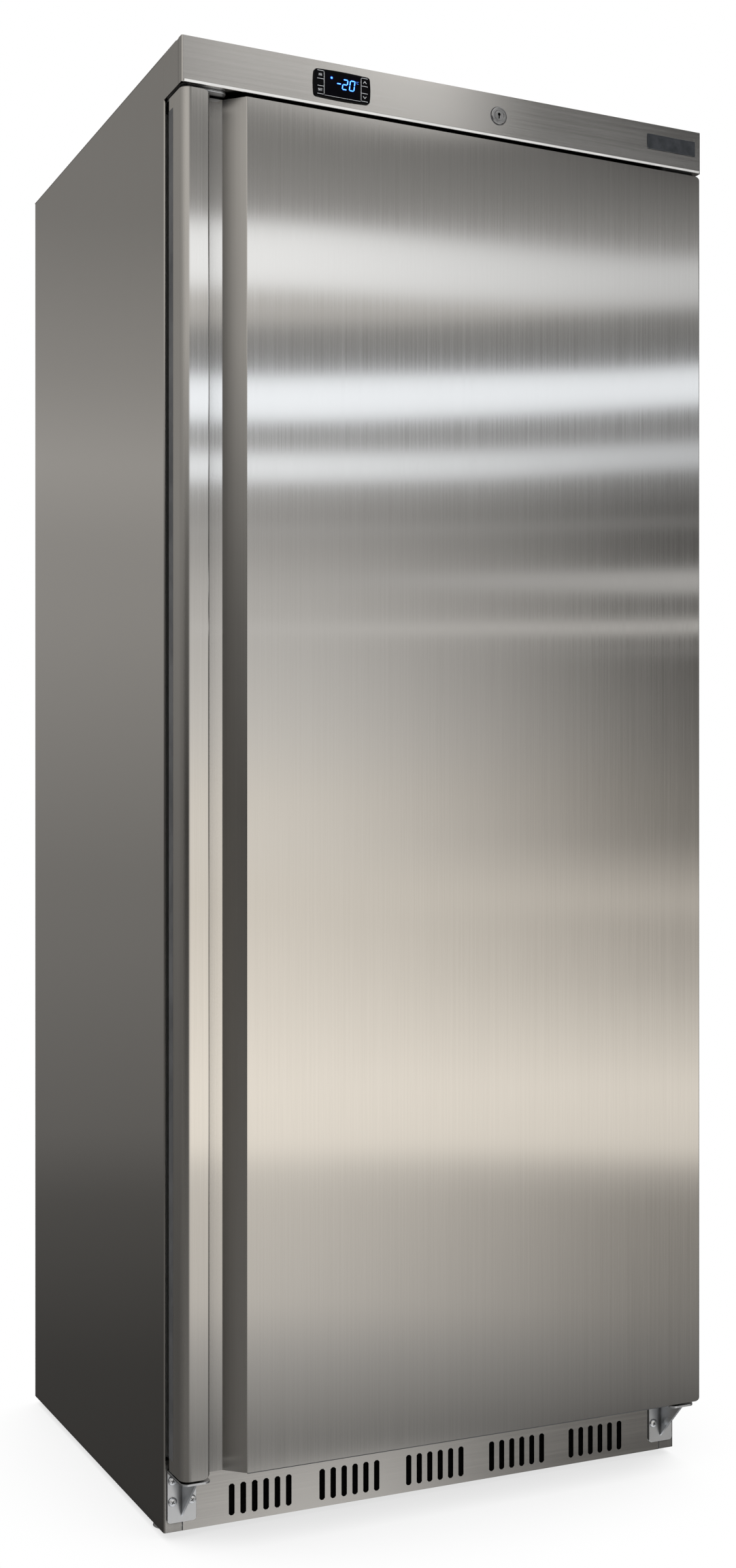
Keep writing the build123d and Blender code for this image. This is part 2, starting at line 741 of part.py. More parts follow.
# The plug turns in the housing and carries the tongue on a reduced end.
with BuildPart() as lock_plug:
    with BuildSketch(LOCK_PLANE.offset(LOCK_PROUD - SEAL_GAP)):
        Circle(LOCK_PLUG / 2)
    extrude(amount=-LOCK_PROUD + SEAL_GAP - LOCK_LENGTH)
    with BuildSketch(LOCK_PLANE.offset(-LOCK_LENGTH)):
        Circle(LOCK_SHANK / 2)
    extrude(amount=-SEAL_GAP - 2 * TONGUE_THICK)
    with BuildSketch(LOCK_PLANE.offset(LOCK_PROUD - SEAL_GAP)):
        with Locations((0, KEYWAY[0])):
            Circle(1.25 * KEYWAY[0])
        Rectangle(KEYWAY[0], KEYWAY[1])
    extrude(amount=-KEYWAY[2], mode=Mode.SUBTRACT)
keep(lock_plug.part, "lock_plug")

with BuildPart() as lock_tongue:
    with BuildSketch(LOCK_PLANE.offset(-TONGUE_LEVEL)):
        Circle(LOCK_PLUG / 2)
        with Locations(((TONGUE_REACH - TONGUE_WIDTH / 2) / 2, 0)):
            Rectangle(TONGUE_REACH - TONGUE_WIDTH / 2, TONGUE_WIDTH)
        with Locations((TONGUE_REACH - TONGUE_WIDTH / 2, 0)):
            Circle(TONGUE_WIDTH / 2)
        Circle(LOCK_SHANK / 2 + RUNNING, mode=Mode.SUBTRACT)
    extrude(amount=-TONGUE_THICK)
keep(lock_tongue.part, "lock_tongue")

# ================================================================ hinges
TOP_FLANGE = DOOR_TOP_GAP - BRACKET_THICK - SEAM  # flange of the upper bush


def lower_bracket(side):
    """A folded plate screwed to the plinth, with a tab under the door and a gusset between them."""
    x = side * BRACKET_X
    with BuildPart() as bracket:
        with BuildSketch(FRONT_PLANE) as plate:
            with Locations((x, (BRACKET_LOW + TAB_TOP) / 2)):
                Rectangle(BRACKET_WIDTH, TAB_TOP - BRACKET_LOW)
            fillet(plate.vertices().group_by(Axis.Y)[0], TAB_CORNER / 2)
            with Locations([(sx, sz) for sx, sz in SCREW_PLACES if sx * side > 0]):
                RegularPolygon(SCREW_HOLE, 6, mode=Mode.SUBTRACT)
        extrude(amount=BRACKET_THICK)
        with BuildSketch(Plane.XY.offset(TAB_TOP)) as tab:
            with Locations((x, Y_FRAME - TAB_REACH / 2)):
                Rectangle(BRACKET_WIDTH, TAB_REACH)
            fillet(tab.vertices().group_by(Axis.Y)[0], TAB_CORNER)
        extrude(amount=-BRACKET_THICK)
        with BuildSketch(Plane.YZ.offset(x)):
            with BuildLine():
                Polyline(
                    (Y_FRAME - BRACKET_THICK, TAB_TOP - BRACKET_THICK),
                    (Y_FRAME - TAB_REACH + BRACKET_THICK, TAB_TOP - BRACKET_THICK),
                    (Y_FRAME - BRACKET_THICK, BRACKET_LOW + GUSSET_START),
                    close=True,
                )
            make_face()
        extrude(amount=BRACKET_THICK / 2, both=True)
        with BuildSketch(Plane.XY.offset(TAB_TOP)):
            with Locations((side * PIN_X, PIN_Y)):
                Circle(PIN_DIAMETER / 2 + RUNNING)
        extrude(amount=-BRACKET_THICK, mode=Mode.SUBTRACT)
    return bracket.part


keep(lower_bracket(-1), "hinge_bracket_left")
keep(lower_bracket(1), "hinge_bracket_right")


def upper_plate(side):
    """A folded plate whose leaf lies under the canopy and turns up in front of the header."""
    x = side * (HALF - BRACKET_INSET - TOP_PLATE_WIDTH / 2)
    with BuildPart() as plate:
        with BuildSketch(Plane.XY.offset(Z_CANOPY)) as leaf:
            with Locations((x, Y_FRAME - TAB_REACH / 2)):
                Rectangle(TOP_PLATE_WIDTH, TAB_REACH)
            fillet(leaf.vertices().group_by(Axis.Y)[0], TAB_CORNER)
            with Locations((side * PIN_X, PIN_Y)):
                Circle(PIN_DIAMETER / 2 + RUNNING, mode=Mode.SUBTRACT)
        extrude(amount=-BRACKET_THICK)
        with BuildSketch(FRONT_PLANE):
            with Locations((x, Z_CANOPY + TOP_PLATE_LEAF / 2)):
                Rectangle(TOP_PLATE_WIDTH, TOP_PLATE_LEAF)
        extrude(amount=BRACKET_THICK)
    return plate.part


keep(group(upper_plate(-1), upper_plate(1)), "hinge_plates_top")

# Two pins on one axis: the lower stands in its tab, the upper hangs from its plate.
with BuildPart() as lower_pin:
    with BuildSketch(Plane.XY.offset(TAB_TOP - BRACKET_THICK)):
        with Locations((PIN_X, PIN_Y)):
            Circle(PIN_DIAMETER / 2)
    extrude(amount=BRACKET_THICK + BRACKET_DROP + PIN_IN_DOOR)
with BuildPart() as upper_pin:
    with BuildSketch(Plane.XY.offset(Z_CANOPY)):
        with Locations((PIN_X, PIN_Y)):
            Circle(PIN_DIAMETER / 2)
    extrude(amount=-DOOR_TOP_GAP - PIN_IN_DOOR)
keep(group(lower_pin.part, upper_pin.part), "hinge_pins")

with BuildPart() as hinge_washer:
    with BuildSketch(Plane.XY.offset(TAB_TOP)):
        with Locations((PIN_X, PIN_Y)):
            Circle(PIN_DIAMETER / 2 + BUSH_WALL)
            Circle(PIN_DIAMETER / 2 + RUNNING, mode=Mode.SUBTRACT)
    extrude(amount=BRACKET_DROP - BUSH_FLANGE - RUNNING)
keep(hinge_washer.part, "hinge_washer")


def bracket_screw(x, z):
    """A pan-head screw with a shank of six flats, through the bracket into the case."""
    with BuildPart() as screw:
        with BuildSketch(FRONT_PLANE.offset(BRACKET_THICK)):
            with Locations((x, z)):
                RegularPolygon(SCREW_HEAD / 2, SCREW_FLAT_COUNT)
        extrude(amount=SCREW_HEAD_HIGH, taper=SCREW_TAPER)
        with BuildSketch(FRONT_PLANE.offset(BRACKET_THICK)):
            with Locations((x, z)):
                RegularPolygon(SCREW_SHANK / 2, 6)
        extrude(amount=-SCREW_LENGTH)
    return screw.part


keep(group(*(bracket_screw(x, z) for x, z in SCREW_PLACES)), "hinge_screws")


# ================================================================ door
def door_form(inset):
    """The door's outer form drawn in by inset: a plan with the grip and groove, rounded at its corners."""
    with BuildPart() as form:
        with BuildSketch(Plane.XY.offset(DOOR_LOW + inset)) as plan:
            grip = DOOR_LEFT + GRIP_WIDTH
            groove = grip + GROOVE_FLOOR
            with BuildLine():
                Polyline(
                    (DOOR_LEFT, DOOR_BACK),
                    (DOOR_LEFT, Y_FACE),
                    (grip, Y_FACE),
                    (grip - GROOVE_UNDERCUT, Y_FACE + GROOVE_DEPTH),
                    (groove, Y_FACE + GROOVE_DEPTH),
                    (groove + GROOVE_SLOPE, Y_FACE),
                    (DOOR_RIGHT, Y_FACE),
                    (DOOR_RIGHT, DOOR_BACK),
                    close=True,
                )
            make_face()
            face_corners = plan.vertices().group_by(Axis.Y)[0].sort_by(Axis.X)
            fillet(face_corners[1:], FOLD)
            fillet(plan.vertices().group_by(Axis.Y)[0].sort_by(Axis.X)[0], GRIP_RADIUS)
            if inset:
                offset(amount=-inset, kind=Kind.INTERSECTION)
        extrude(amount=DOOR_HIGH - DOOR_LOW - 2 * inset)
        # Rounded corners at the hinge side, seen from the front.
        with BuildSketch(Plane.XZ.offset(-DOOR_BACK)) as front:
            with Locations((0, DOOR_MIDDLE)):
                Rectangle(DOOR_RIGHT - DOOR_LEFT, DOOR_HIGH - DOOR_LOW)
            fillet(front.vertices().group_by(Axis.X)[-1], DOOR_CORNER)
            if inset:
                offset(amount=-inset, kind=Kind.INTERSECTION)
        extrude(amount=DOOR_THICK, mode=Mode.INTERSECT)
        # Rounded ends of the grip, down to the floor of the groove.
        with BuildSketch(Plane.XZ.offset(-(Y_FACE + GROOVE_DEPTH + inset))):
            for z, turn in ((DOOR_HIGH - inset, 1), (DOOR_LOW + inset, -1)):
                radius = GRIP_CORNER - inset
                with Locations((grip - inset - radius / 2, z - turn * radius / 2)):
                    Rectangle(radius, radius)
                with Locations((grip - inset - radius, z - turn * radius)):
                    Circle(radius, mode=Mode.SUBTRACT)
        extrude(amount=GROOVE_DEPTH + inset, mode=Mode.SUBTRACT)
    return form.part


door_outside = door_form(0)
door_inside = door_form(DOOR_SHEET)
back_opening = block(
    (DOOR_LEFT + DOOR_RETURN, DOOR_BACK - DOOR_SHEET, DOOR_LOW + DOOR_RETURN),
    (DOOR_RIGHT - DOOR_RETURN, DOOR_BACK, DOOR_HIGH - DOOR_RETURN),
)
KEEPER_DROP = Z_PANEL - DOOR_HIGH
KEEPER_LOW = Z_PANEL - TONGUE_REACH - KEEPER_ROOM
keeper_space = slot_block(KEEPER_DROP, KEEPER_LOW, DOOR_HIGH)
keeper_cup = slot_block(KEEPER_DROP, KEEPER_LOW - KEEPER_WALL, DOOR_HIGH - DOOR_SHEET, KEEPER_WALL)
with BuildPart() as bush_space:
    for z, depth in ((DOOR_LOW, PIN_IN_DOOR), (DOOR_HIGH, -PIN_IN_DOOR)):
        with BuildSketch(Plane.XY.offset(z)):
            with Locations((PIN_X, PIN_Y)):
                Circle(PIN_DIAMETER / 2 + BUSH_WALL + RUNNING)
        extrude(amount=depth + math.copysign(BUSH_WALL + RUNNING, depth))

with BuildPart() as door_skin:
    add(door_outside)
    add(door_inside, mode=Mode.SUBTRACT)
    add(back_opening, mode=Mode.SUBTRACT)
    add(keeper_space, mode=Mode.SUBTRACT)
    add(bush_space.part, mode=Mode.SUBTRACT)
keep(door_skin.part, "door_skin")


def raised_field(level, shrink):
    """The raised middle of the inner panel, inside the gasket; its sides are drafted."""
    margin_x = GASKET_SIDE + GASKET_FOOT + SEAM + shrink
    margin_z = GASKET_DROP + GASKET_FOOT + SEAM + shrink
    with BuildPart() as field:
        with BuildSketch(Plane.XZ.offset(-level)):
            with Locations((0, DOOR_MIDDLE)):
                Rectangle(
                    DOOR_RIGHT - DOOR_LEFT - 2 * margin_x,
                    DOOR_HIGH - DOOR_LOW - 2 * margin_z,
                )
        extrude(amount=-LINER_RAISE, taper=LINER_DRAFT)
    return field.part


field_outside = raised_field(DOOR_BACK + LINER_SHEET, 0)
field_inside = raised_field(DOOR_BACK, LINER_SHEET)
with BuildPart() as door_foam:
    add(door_inside)
    add(back_opening)
    add(field_inside)
    add(keeper_cup, mode=Mode.SUBTRACT)
    add(bush_space.part, mode=Mode.SUBTRACT)
keep(door_foam.part, "door_foam")

liner_plate = block(
    (DOOR_LEFT + LINER_MARGIN, DOOR_BACK, DOOR_LOW + LINER_MARGIN),
    (DOOR_RIGHT - LINER_MARGIN, DOOR_BACK + LINER_SHEET, DOOR_HIGH - LINER_MARGIN),
)
with BuildPart() as door_liner:
    add(liner_plate)
    add(field_outside)
    add(field_inside, mode=Mode.SUBTRACT)
keep(door_liner.part, "door_liner")


def seal_ring(level, depth, band):
    """A closed band round the door, centred on the gasket's foot."""
    shift = (GASKET_FOOT - band) / 2
    width = DOOR_RIGHT - DOOR_LEFT - 2 * (GASKET_SIDE + shift)
    height = DOOR_HIGH - DOOR_LOW - 2 * (GASKET_DROP + shift)
    with BuildPart() as ring:
        with BuildSketch(Plane.XZ.offset(-level)):
            with Locations((0, DOOR_MIDDLE)):
                Rectangle(width, height)
                Rectangle(width - 2 * band, height - 2 * band, mode=Mode.SUBTRACT)
        extrude(amount=-depth)
    return ring.part


SEAL_BACK = DOOR_BACK + LINER_SHEET
SEAL_FRONT = Y_FRAME - SEAL_GAP
seal_depth = SEAL_FRONT - SEAL_BACK
seal_foot = seal_ring(SEAL_BACK, GASKET_FOOT_THICK, GASKET_FOOT)
seal_neck = seal_ring(SEAL_BACK, seal_depth, GASKET_NECK)
seal_head = seal_ring(SEAL_FRONT - GASKET_HEAD_THICK, GASKET_HEAD_THICK, GASKET_HEAD)
with BuildPart() as door_gasket:
    add(seal_foot)
    add(seal_neck)
    add(seal_head)
keep(door_gasket.part, "door_gasket")


def door_bush(level, up, flange):
    """A flanged blind bush in an end of the door; up is 1 for the lower end and -1 for the upper."""
    with BuildPart() as bush:
        with BuildSketch(Plane.XY.offset(level)):
            with Locations((PIN_X, PIN_Y)):
                Circle(PIN_DIAMETER / 2 + 2 * BUSH_WALL)
        extrude(amount=-up * flange)
        with BuildSketch(Plane.XY.offset(level)):
            with Locations((PIN_X, PIN_Y)):
                Circle(PIN_DIAMETER / 2 + BUSH_WALL)
        extrude(amount=up * (PIN_IN_DOOR + BUSH_WALL))
        with BuildSketch(Plane.XY.offset(level - up * flange)):
            with Locations((PIN_X, PIN_Y)):
                Circle(PIN_DIAMETER / 2 + RUNNING)
        extrude(amount=up * (flange + PIN_IN_DOOR + RUNNING), mode=Mode.SUBTRACT)
    return bush.part


keep(
    group(door_bush(DOOR_LOW, 1, BUSH_FLANGE), door_bush(DOOR_HIGH, -1, TOP_FLANGE)),
    "door_bushes",
)

with BuildPart() as lock_keeper:
    add(keeper_cup)
    add(keeper_space, mode=Mode.SUBTRACT)
keep(lock_keeper.part, "lock_keeper")

# ================================================================ base, feet and rollers
RAIL_X = HALF - SHEET - RAIL_WIDTH / 2
FOOT_Y = Y_FRAME + FOOT_SETBACK
RAIL_FRONT = Y_FRAME + RAIL_SETBACK
RAIL_BACK = Y_REAR - BEND - SEAM
TRAY_LOW = Z_BASE + RAIL_HEIGHT
TRAY_TOP = TRAY_LOW + TRAY_SHEET
TRAY_REAR = Y_REAR - TRAY_BACK
ROLLER_X = HALF - SHEET - RAIL_WIDTH - ROLLER_WIDTH
ROLLER_Y = Y_REAR - ROLLER_SETBACK


def foot_hole(side, top):
    """The clearance bore for a foot's stud, from the case's lower edge up to top."""
    with BuildPart() as hole:
        with BuildSketch(Plane.XY.offset(Z_BASE)):
            with Locations((side * RAIL_X, FOOT_Y)):
                Circle(FOOT_STUD / 2 + RUNNING)
        extrude(amount=top - Z_BASE)
    return hole.part


def base_rail(side):
    """A channel along the foot of one side, with a nut over the foot's hole."""
    inner = side * (HALF - SHEET - RAIL_WIDTH)
    channel = folded(
        Plane.XZ.offset(-RAIL_BACK),
        [
            (inner, Z_BASE),
            (side * (HALF - SHEET), Z_BASE),
            (side * (HALF - SHEET), Z_BASE + RAIL_HEIGHT),
            (inner, Z_BASE + RAIL_HEIGHT),
        ],
        None,
        RAIL_SHEET,
        RAIL_BACK - RAIL_FRONT,
        Side.LEFT if side > 0 else Side.RIGHT,
    )
    bore = foot_hole(side, Z_BASE + RAIL_SHEET + NUT_HEIGHT)
    with BuildPart() as rail:
        add(channel)
        with BuildSketch(Plane.XY.offset(Z_BASE + RAIL_SHEET)):
            with Locations((side * RAIL_X, FOOT_Y)):
                RegularPolygon(FOOT_HEX / 2, 6, major_radius=False)
        extrude(amount=NUT_HEIGHT)
        add(bore, mode=Mode.SUBTRACT)
    return rail.part


def levelling_foot(side):
    """A round pad, a spanner hexagon and a stud."""
    with BuildPart() as foot:
        with BuildSketch():
            with Locations((side * RAIL_X, FOOT_Y)):
                Circle(FOOT_PAD / 2)
        extrude(amount=FOOT_PAD_THICK, taper=FOOT_TAPER)
        with BuildSketch(Plane.XY.offset(FOOT_PAD_THICK)):
            with Locations((side * RAIL_X, FOOT_Y)):
                RegularPolygon(FOOT_HEX / 2, 6, major_radius=False)
        extrude(amount=Z_BASE - FOOT_PAD_THICK)
        with BuildSketch(Plane.XY.offset(Z_BASE)):
            with Locations((side * RAIL_X, FOOT_Y)):
                Circle(FOOT_STUD / 2)
        extrude(amount=FOOT_STUD_TOP)
    return foot.part


def roller(side):
    """A nylon wheel."""
    with BuildPart() as wheel:
        with BuildSketch(Plane.YZ.offset(side * ROLLER_X - ROLLER_WIDTH / 2)):
            with Locations((ROLLER_Y, ROLLER / 2)):
                Circle(ROLLER / 2)
        extrude(amount=ROLLER_WIDTH)
        with BuildSketch(Plane.YZ.offset(side * ROLLER_X - ROLLER_WIDTH / 2)):
            with Locations((ROLLER_Y, ROLLER / 2)):
                Circle(ROLLER_AXLE / 2 + RUNNING)
        extrude(amount=ROLLER_WIDTH, mode=Mode.SUBTRACT)
    return wheel.part


def roller_bracket(side):
    """A bridge under the tray with the roller's axle riveted through its legs."""
    half = ROLLER_WIDTH / 2 + ROLLER_SIDE_GAP
    low = ROLLER / 2 - ROLLER_AXLE
    bridge = folded(
        Plane.XZ.offset(-(ROLLER_Y + ROLLER_AXLE * 1.5)),
        [
            (side * ROLLER_X - half, low),
            (side * ROLLER_X - half, TRAY_LOW - RAIL_SHEET),
            (side * ROLLER_X + half, TRAY_LOW - RAIL_SHEET),
            (side * ROLLER_X + half, low),
        ],
        None,
        RAIL_SHEET,
        3 * ROLLER_AXLE,
        Side.LEFT,
    )
    with BuildPart() as bracket:
        add(bridge)
        with BuildSketch(Plane.YZ.offset(side * ROLLER_X - half)):
            with Locations((ROLLER_Y, ROLLER / 2)):
                Circle(ROLLER_AXLE / 2)
        extrude(amount=2 * half)
    return bracket.part


for side, hand in ((-1, "left"), (1, "right")):
    keep(levelling_foot(side), f"foot_{hand}")
    keep(roller(side), f"roller_{hand}")
keep(group(base_rail(-1), base_rail(1)), "base_rails")
keep(group(roller_bracket(-1), roller_bracket(1)), "roller_brackets")

keep(
    folded(
        Plane.YZ.offset(-HALF + SHEET + SEAM),
        [
            (TRAY_REAR - TRAY_DEPTH, TRAY_LOW + TRAY_LIP),
            (TRAY_REAR - TRAY_DEPTH, TRAY_LOW),
            (TRAY_REAR, TRAY_LOW),
            (TRAY_REAR, TRAY_LOW + TRAY_LIP),
        ],
        None,
        TRAY_SHEET,
        CASE_WIDTH - 2 * SHEET - 2 * SEAM,
    ),
    "compressor_tray",
)

# ================================================================ cooling circuit
# Each shelf of the cabin is itself cooled: a serpentine tube under a grid of wires.
shelf_front = Y_FRAME + SHELF_FRONT
shelf_back = CABIN_BACK - SHELF_BACK
SHELF_DEPTH = shelf_back - shelf_front
SHELF_Y = (shelf_front + shelf_back) / 2
SHELF_PITCH = (SHELF_DEPTH - 2 * SHELF_EDGE) / (SHELF_RUN_COUNT - 1)
SHELF_LENGTH = 2 * (CABIN_HALF - SHELF_SIDE_GAP) - SHELF_PITCH - TUBE
RISER_X = CABIN_HALF - SHELF_SIDE_GAP - TUBE / 2
SHELF_TAIL = RISER_X - RISER_BEND - SHELF_LENGTH / 2
GRID_LENGTH = 2 * (RISER_X - RISER_BEND)
shelf_low = HUMP_TOP + SHELF_FIRST
shelf_high = CABIN_TOP - SHELF_HEADROOM
SHELF_LEVELS = [
    shelf_low + (shelf_high - shelf_low) * n / (SHELF_COUNT - 1) for n in range(SHELF_COUNT)
]
shelves = []
for level in SHELF_LEVELS:
    plane = Plane((0, SHELF_Y, level), x_dir=(-1, 0, 0), z_dir=(0, 0, 1))
    shelves.append(serpentine(plane, SHELF_RUN_COUNT, SHELF_PITCH, SHELF_LENGTH, SHELF_TAIL, TUBE))
    shelves.append(
        wire_grid(plane.offset(TUBE / 2), GRID_LENGTH, SHELF_DEPTH, SHELF_WIRE_COUNT, SHELF_WIRE)
    )
keep(group(*shelves), "evaporator_shelves")

# One circuit: each shelf's end climbs to the next shelf's, at the back and the front in turn.
end_x = RISER_X - RISER_BEND
back_run = SHELF_Y + SHELF_PITCH * (SHELF_RUN_COUNT - 1) / 2
front_run = SHELF_Y - SHELF_PITCH * (SHELF_RUN_COUNT - 1) / 2
risers = []
for n in range(SHELF_COUNT - 1):
    y = back_run if n % 2 else front_run
    risers.append(
        bent_tube(
            [
                (end_x, y, SHELF_LEVELS[n]),
                (RISER_X, y, SHELF_LEVELS[n]),
                (RISER_X, y, SHELF_LEVELS[n + 1]),
                (end_x, y, SHELF_LEVELS[n + 1]),
            ],
            RISER_RADIUS,
            TUBE,
            TUBE_FLAT_COUNT,
        )
    )
for level in (SHELF_LEVELS[0], SHELF_LEVELS[-1]):
    risers.append(
        bent_tube(
            [(end_x, back_run, level), (RISER_X, back_run, level), (RISER_X, CABIN_BACK, level)],
            RISER_RADIUS,
            TUBE,
            TUBE_FLAT_COUNT,
        )
    )
keep(group(*risers), "evaporator_risers")


def shelf_clip(side, y, level):
    """An angle on the cabin wall whose ledge carries a bend of the shelf's tube."""
    low = level - TUBE / 2 - CLIP_SHEET
    wall = side * CABIN_HALF
    return folded(
        Plane.XZ.offset(-(y + CLIP_WIDTH / 2)),
        [
            (wall, low + CLIP_HEIGHT),
            (wall, low),
            (wall - side * (SHELF_SIDE_GAP + 2 * TUBE), low),
        ],
        None,
        CLIP_SHEET,
        CLIP_WIDTH,
        Side.RIGHT if side > 0 else Side.LEFT,
    )


# Clips stand under the first and last bend that each side has.
left_bends = [n for n in range(SHELF_RUN_COUNT - 1) if n % 2 == 0]
right_bends = [n for n in range(SHELF_RUN_COUNT - 1) if n % 2 == 1]
clips = []
for side, bends in ((-1, left_bends), (1, right_bends)):
    for n in sorted({bends[0], bends[-1]}):
        y = back_run - (n + 0.5) * SHELF_PITCH
        clips.extend(shelf_clip(side, y, level) for level in SHELF_LEVELS)
keep(group(*clips), "shelf_clips")

CONDENSER_Y = Y_BACK + CONDENSER_STAND
condenser_low = BAY_HEIGHT + CONDENSER_MARGIN
CONDENSER_Z = condenser_low + CONDENSER_PITCH * (CONDENSER_RUN_COUNT - 1) / 2
condenser_high = condenser_low + CONDENSER_PITCH * (CONDENSER_RUN_COUNT - 1)
CONDENSER_LENGTH = 2 * (CABIN_HALF - CONDENSER_SIDE_GAP) - CONDENSER_PITCH
CONDENSER_TAIL = CONDENSER_PITCH / 2 - LINE_BEND
CONDENSER_END = CONDENSER_LENGTH / 2 + CONDENSER_TAIL
condenser_plane = Plane((0, CONDENSER_Y, CONDENSER_Z), x_dir=(-1, 0, 0), z_dir=(0, 1, 0))
keep(
    group(
        serpentine(
            condenser_plane,
            CONDENSER_RUN_COUNT,
            CONDENSER_PITCH,
            CONDENSER_LENGTH,
            CONDENSER_TAIL,
            CONDENSER_TUBE,
        ),
        wire_grid(
            condenser_plane.offset(CONDENSER_TUBE / 2),
            CONDENSER_LENGTH,
            condenser_high - condenser_low + CONDENSER_PITCH / 2,
            CONDENSER_WIRE_COUNT,
            CONDENSER_WIRE,
        ),
    ),
    "condenser",
)
standoffs = []
for x in (-CONDENSER_LENGTH / 3, CONDENSER_LENGTH / 3):
    for z in (condenser_low + CONDENSER_PITCH, condenser_high - CONDENSER_PITCH):
        standoffs.append(
            block(
                (x - STANDOFF[0] / 2, Y_BACK, z - STANDOFF[1] / 2),
                (x + STANDOFF[0] / 2, CONDENSER_Y - CONDENSER_TUBE / 2, z + STANDOFF[1] / 2),
            )
        )
keep(group(*standoffs), "condenser_standoffs")

COMPRESSOR_Y = TRAY_REAR - TRAY_DEPTH / 2
COMPRESSOR_LOW = TRAY_TOP + GROMMET_HIGH
DISCHARGE_Y = COMPRESSOR_Y - LINE_BEND / 2
DISCHARGE_Z = COMPRESSOR_LOW + COMPRESSOR_SPLIT + LINE_BEND
SUCTION_Y = COMPRESSOR_Y + LINE_BEND
SUCTION_Z = COMPRESSOR_LOW + COMPRESSOR_SPLIT - LINE_BEND
STUB_END = COMPRESSOR_X + COMPRESSOR_RADIUS + LINE_STUB
with BuildPart() as compressor_shell:
    foot_low = COMPRESSOR_LOW
    with BuildSketch(Plane.XY.offset(foot_low)) as sole:
        with Locations((COMPRESSOR_X, COMPRESSOR_Y)):
            Rectangle(GROMMET_SPREAD[0] + GROMMET, GROMMET_SPREAD[1] + GROMMET)
        fillet(sole.vertices(), GROMMET / 2)
    extrude(amount=CLIP_SHEET)
    seam_z = foot_low + COMPRESSOR_SPLIT
    top_z = foot_low + COMPRESSOR_HIGH
    radius = COMPRESSOR_RADIUS
    axis_plane = Plane((COMPRESSOR_X, COMPRESSOR_Y, 0), x_dir=(1, 0, 0), z_dir=(0, -1, 0))
    with BuildSketch(axis_plane) as half_section:
        with BuildLine():
            Polyline(
                (0, top_z),
                (0, foot_low),
                (radius, foot_low),
                (radius, seam_z),
                (radius + COMPRESSOR_SEAM, seam_z),
                (radius + COMPRESSOR_SEAM, seam_z + COMPRESSOR_SEAM),
                (radius, seam_z + COMPRESSOR_SEAM),
                (radius, top_z - COMPRESSOR_CROWN),
            )
            TangentArc((0, top_z), (radius, top_z - COMPRESSOR_CROWN), tangent=(1, 0))
        make_face()
        rim = half_section.vertices().group_by(Axis.X)[-2].sort_by(Axis.Y)
        fillet([rim[0], rim[-1]], COMPRESSOR_SHOULDER)
    revolve(axis=Axis((COMPRESSOR_X, COMPRESSOR_Y, 0), (0, 0, 1)))
    with BuildSketch(Plane.YZ.offset(COMPRESSOR_X)):
        with Locations((DISCHARGE_Y, DISCHARGE_Z), (SUCTION_Y, SUCTION_Z)):
            Circle(LINE_TUBE / 2 + LINE_STUB_WALL)
    extrude(amount=STUB_END - COMPRESSOR_X)
keep(compressor_shell.part, "compressor_shell")

with BuildPart() as grommets:
    with BuildSketch(Plane.XY.offset(TRAY_TOP)):
        with Locations((COMPRESSOR_X, COMPRESSOR_Y)):
            with GridLocations(*GROMMET_SPREAD, 2, 2):
                Circle(GROMMET / 2)
    extrude(amount=GROMMET_HIGH)
keep(group(grommets.part), "compressor_grommets")

relay_x = COMPRESSOR_X - COMPRESSOR_RADIUS - SEAL_GAP
keep(
    block(
        (relay_x - RELAY[1], COMPRESSOR_Y - RELAY[0] / 2, seam_z + 2 * COMPRESSOR_SEAM),
        (relay_x, COMPRESSOR_Y + RELAY[0] / 2, seam_z + 2 * COMPRESSOR_SEAM + RELAY[2]),
    ),
    "compressor_relay",
)


# Hot gas climbs beside the condenser and enters its top run.
line_x = CABIN_HALF
keep(
    bent_tube(
        [
            (STUB_END, DISCHARGE_Y, DISCHARGE_Z),
            (line_x, DISCHARGE_Y, DISCHARGE_Z),
            (line_x, CONDENSER_Y, DISCHARGE_Z),
            (line_x, CONDENSER_Y, condenser_high),
            (CONDENSER_END, CONDENSER_Y, condenser_high),
        ],
        LINE_BEND,
        LINE_TUBE,
    ),
    "discharge_line",
)
# Liquid leaves the lowest run through the drier, and a thin capillary takes it into the insulation.
drier_x = CONDENSER_END + LINE_BEND
drier_top = BAY_HEIGHT - LINE_BEND
drier_low = drier_top - DRIER_LENGTH
capillary_y = COMPRESSOR_Y - 2 * LINE_BEND
liquid_tube = bent_tube(
    [
        (CONDENSER_END, CONDENSER_Y, condenser_low),
        (drier_x, CONDENSER_Y, condenser_low),
        (drier_x, CONDENSER_Y, drier_top),
    ],
    LINE_RADIUS,
    CONDENSER_TUBE,
)
capillary_tube = bent_tube(
    [
        (drier_x, CONDENSER_Y, drier_low),
        (drier_x, CONDENSER_Y, drier_low - LINE_BEND),
        (drier_x, capillary_y, drier_low - LINE_BEND),
        (drier_x, capillary_y, BAY_HEIGHT),
    ],
    LINE_BEND / 2,
    CAPILLARY,
)
keep(group(liquid_tube, capillary_tube), "drier_lines")
with BuildPart() as filter_drier:
    neck = DRIER / 2
    with BuildSketch(Plane((drier_x, CONDENSER_Y, 0), x_dir=(1, 0, 0), z_dir=(0, -1, 0))):
        with BuildLine():
            Polyline(
                (0, drier_top),
                (CONDENSER_TUBE, drier_top),
                (DRIER / 2, drier_top - neck),
                (DRIER / 2, drier_low + neck),
                (CONDENSER_TUBE, drier_low),
                (0, drier_low),
                close=True,
            )
        make_face()
    revolve(axis=Axis((drier_x, CONDENSER_Y, 0), (0, 0, 1)))
keep(filter_drier.part, "filter_drier")
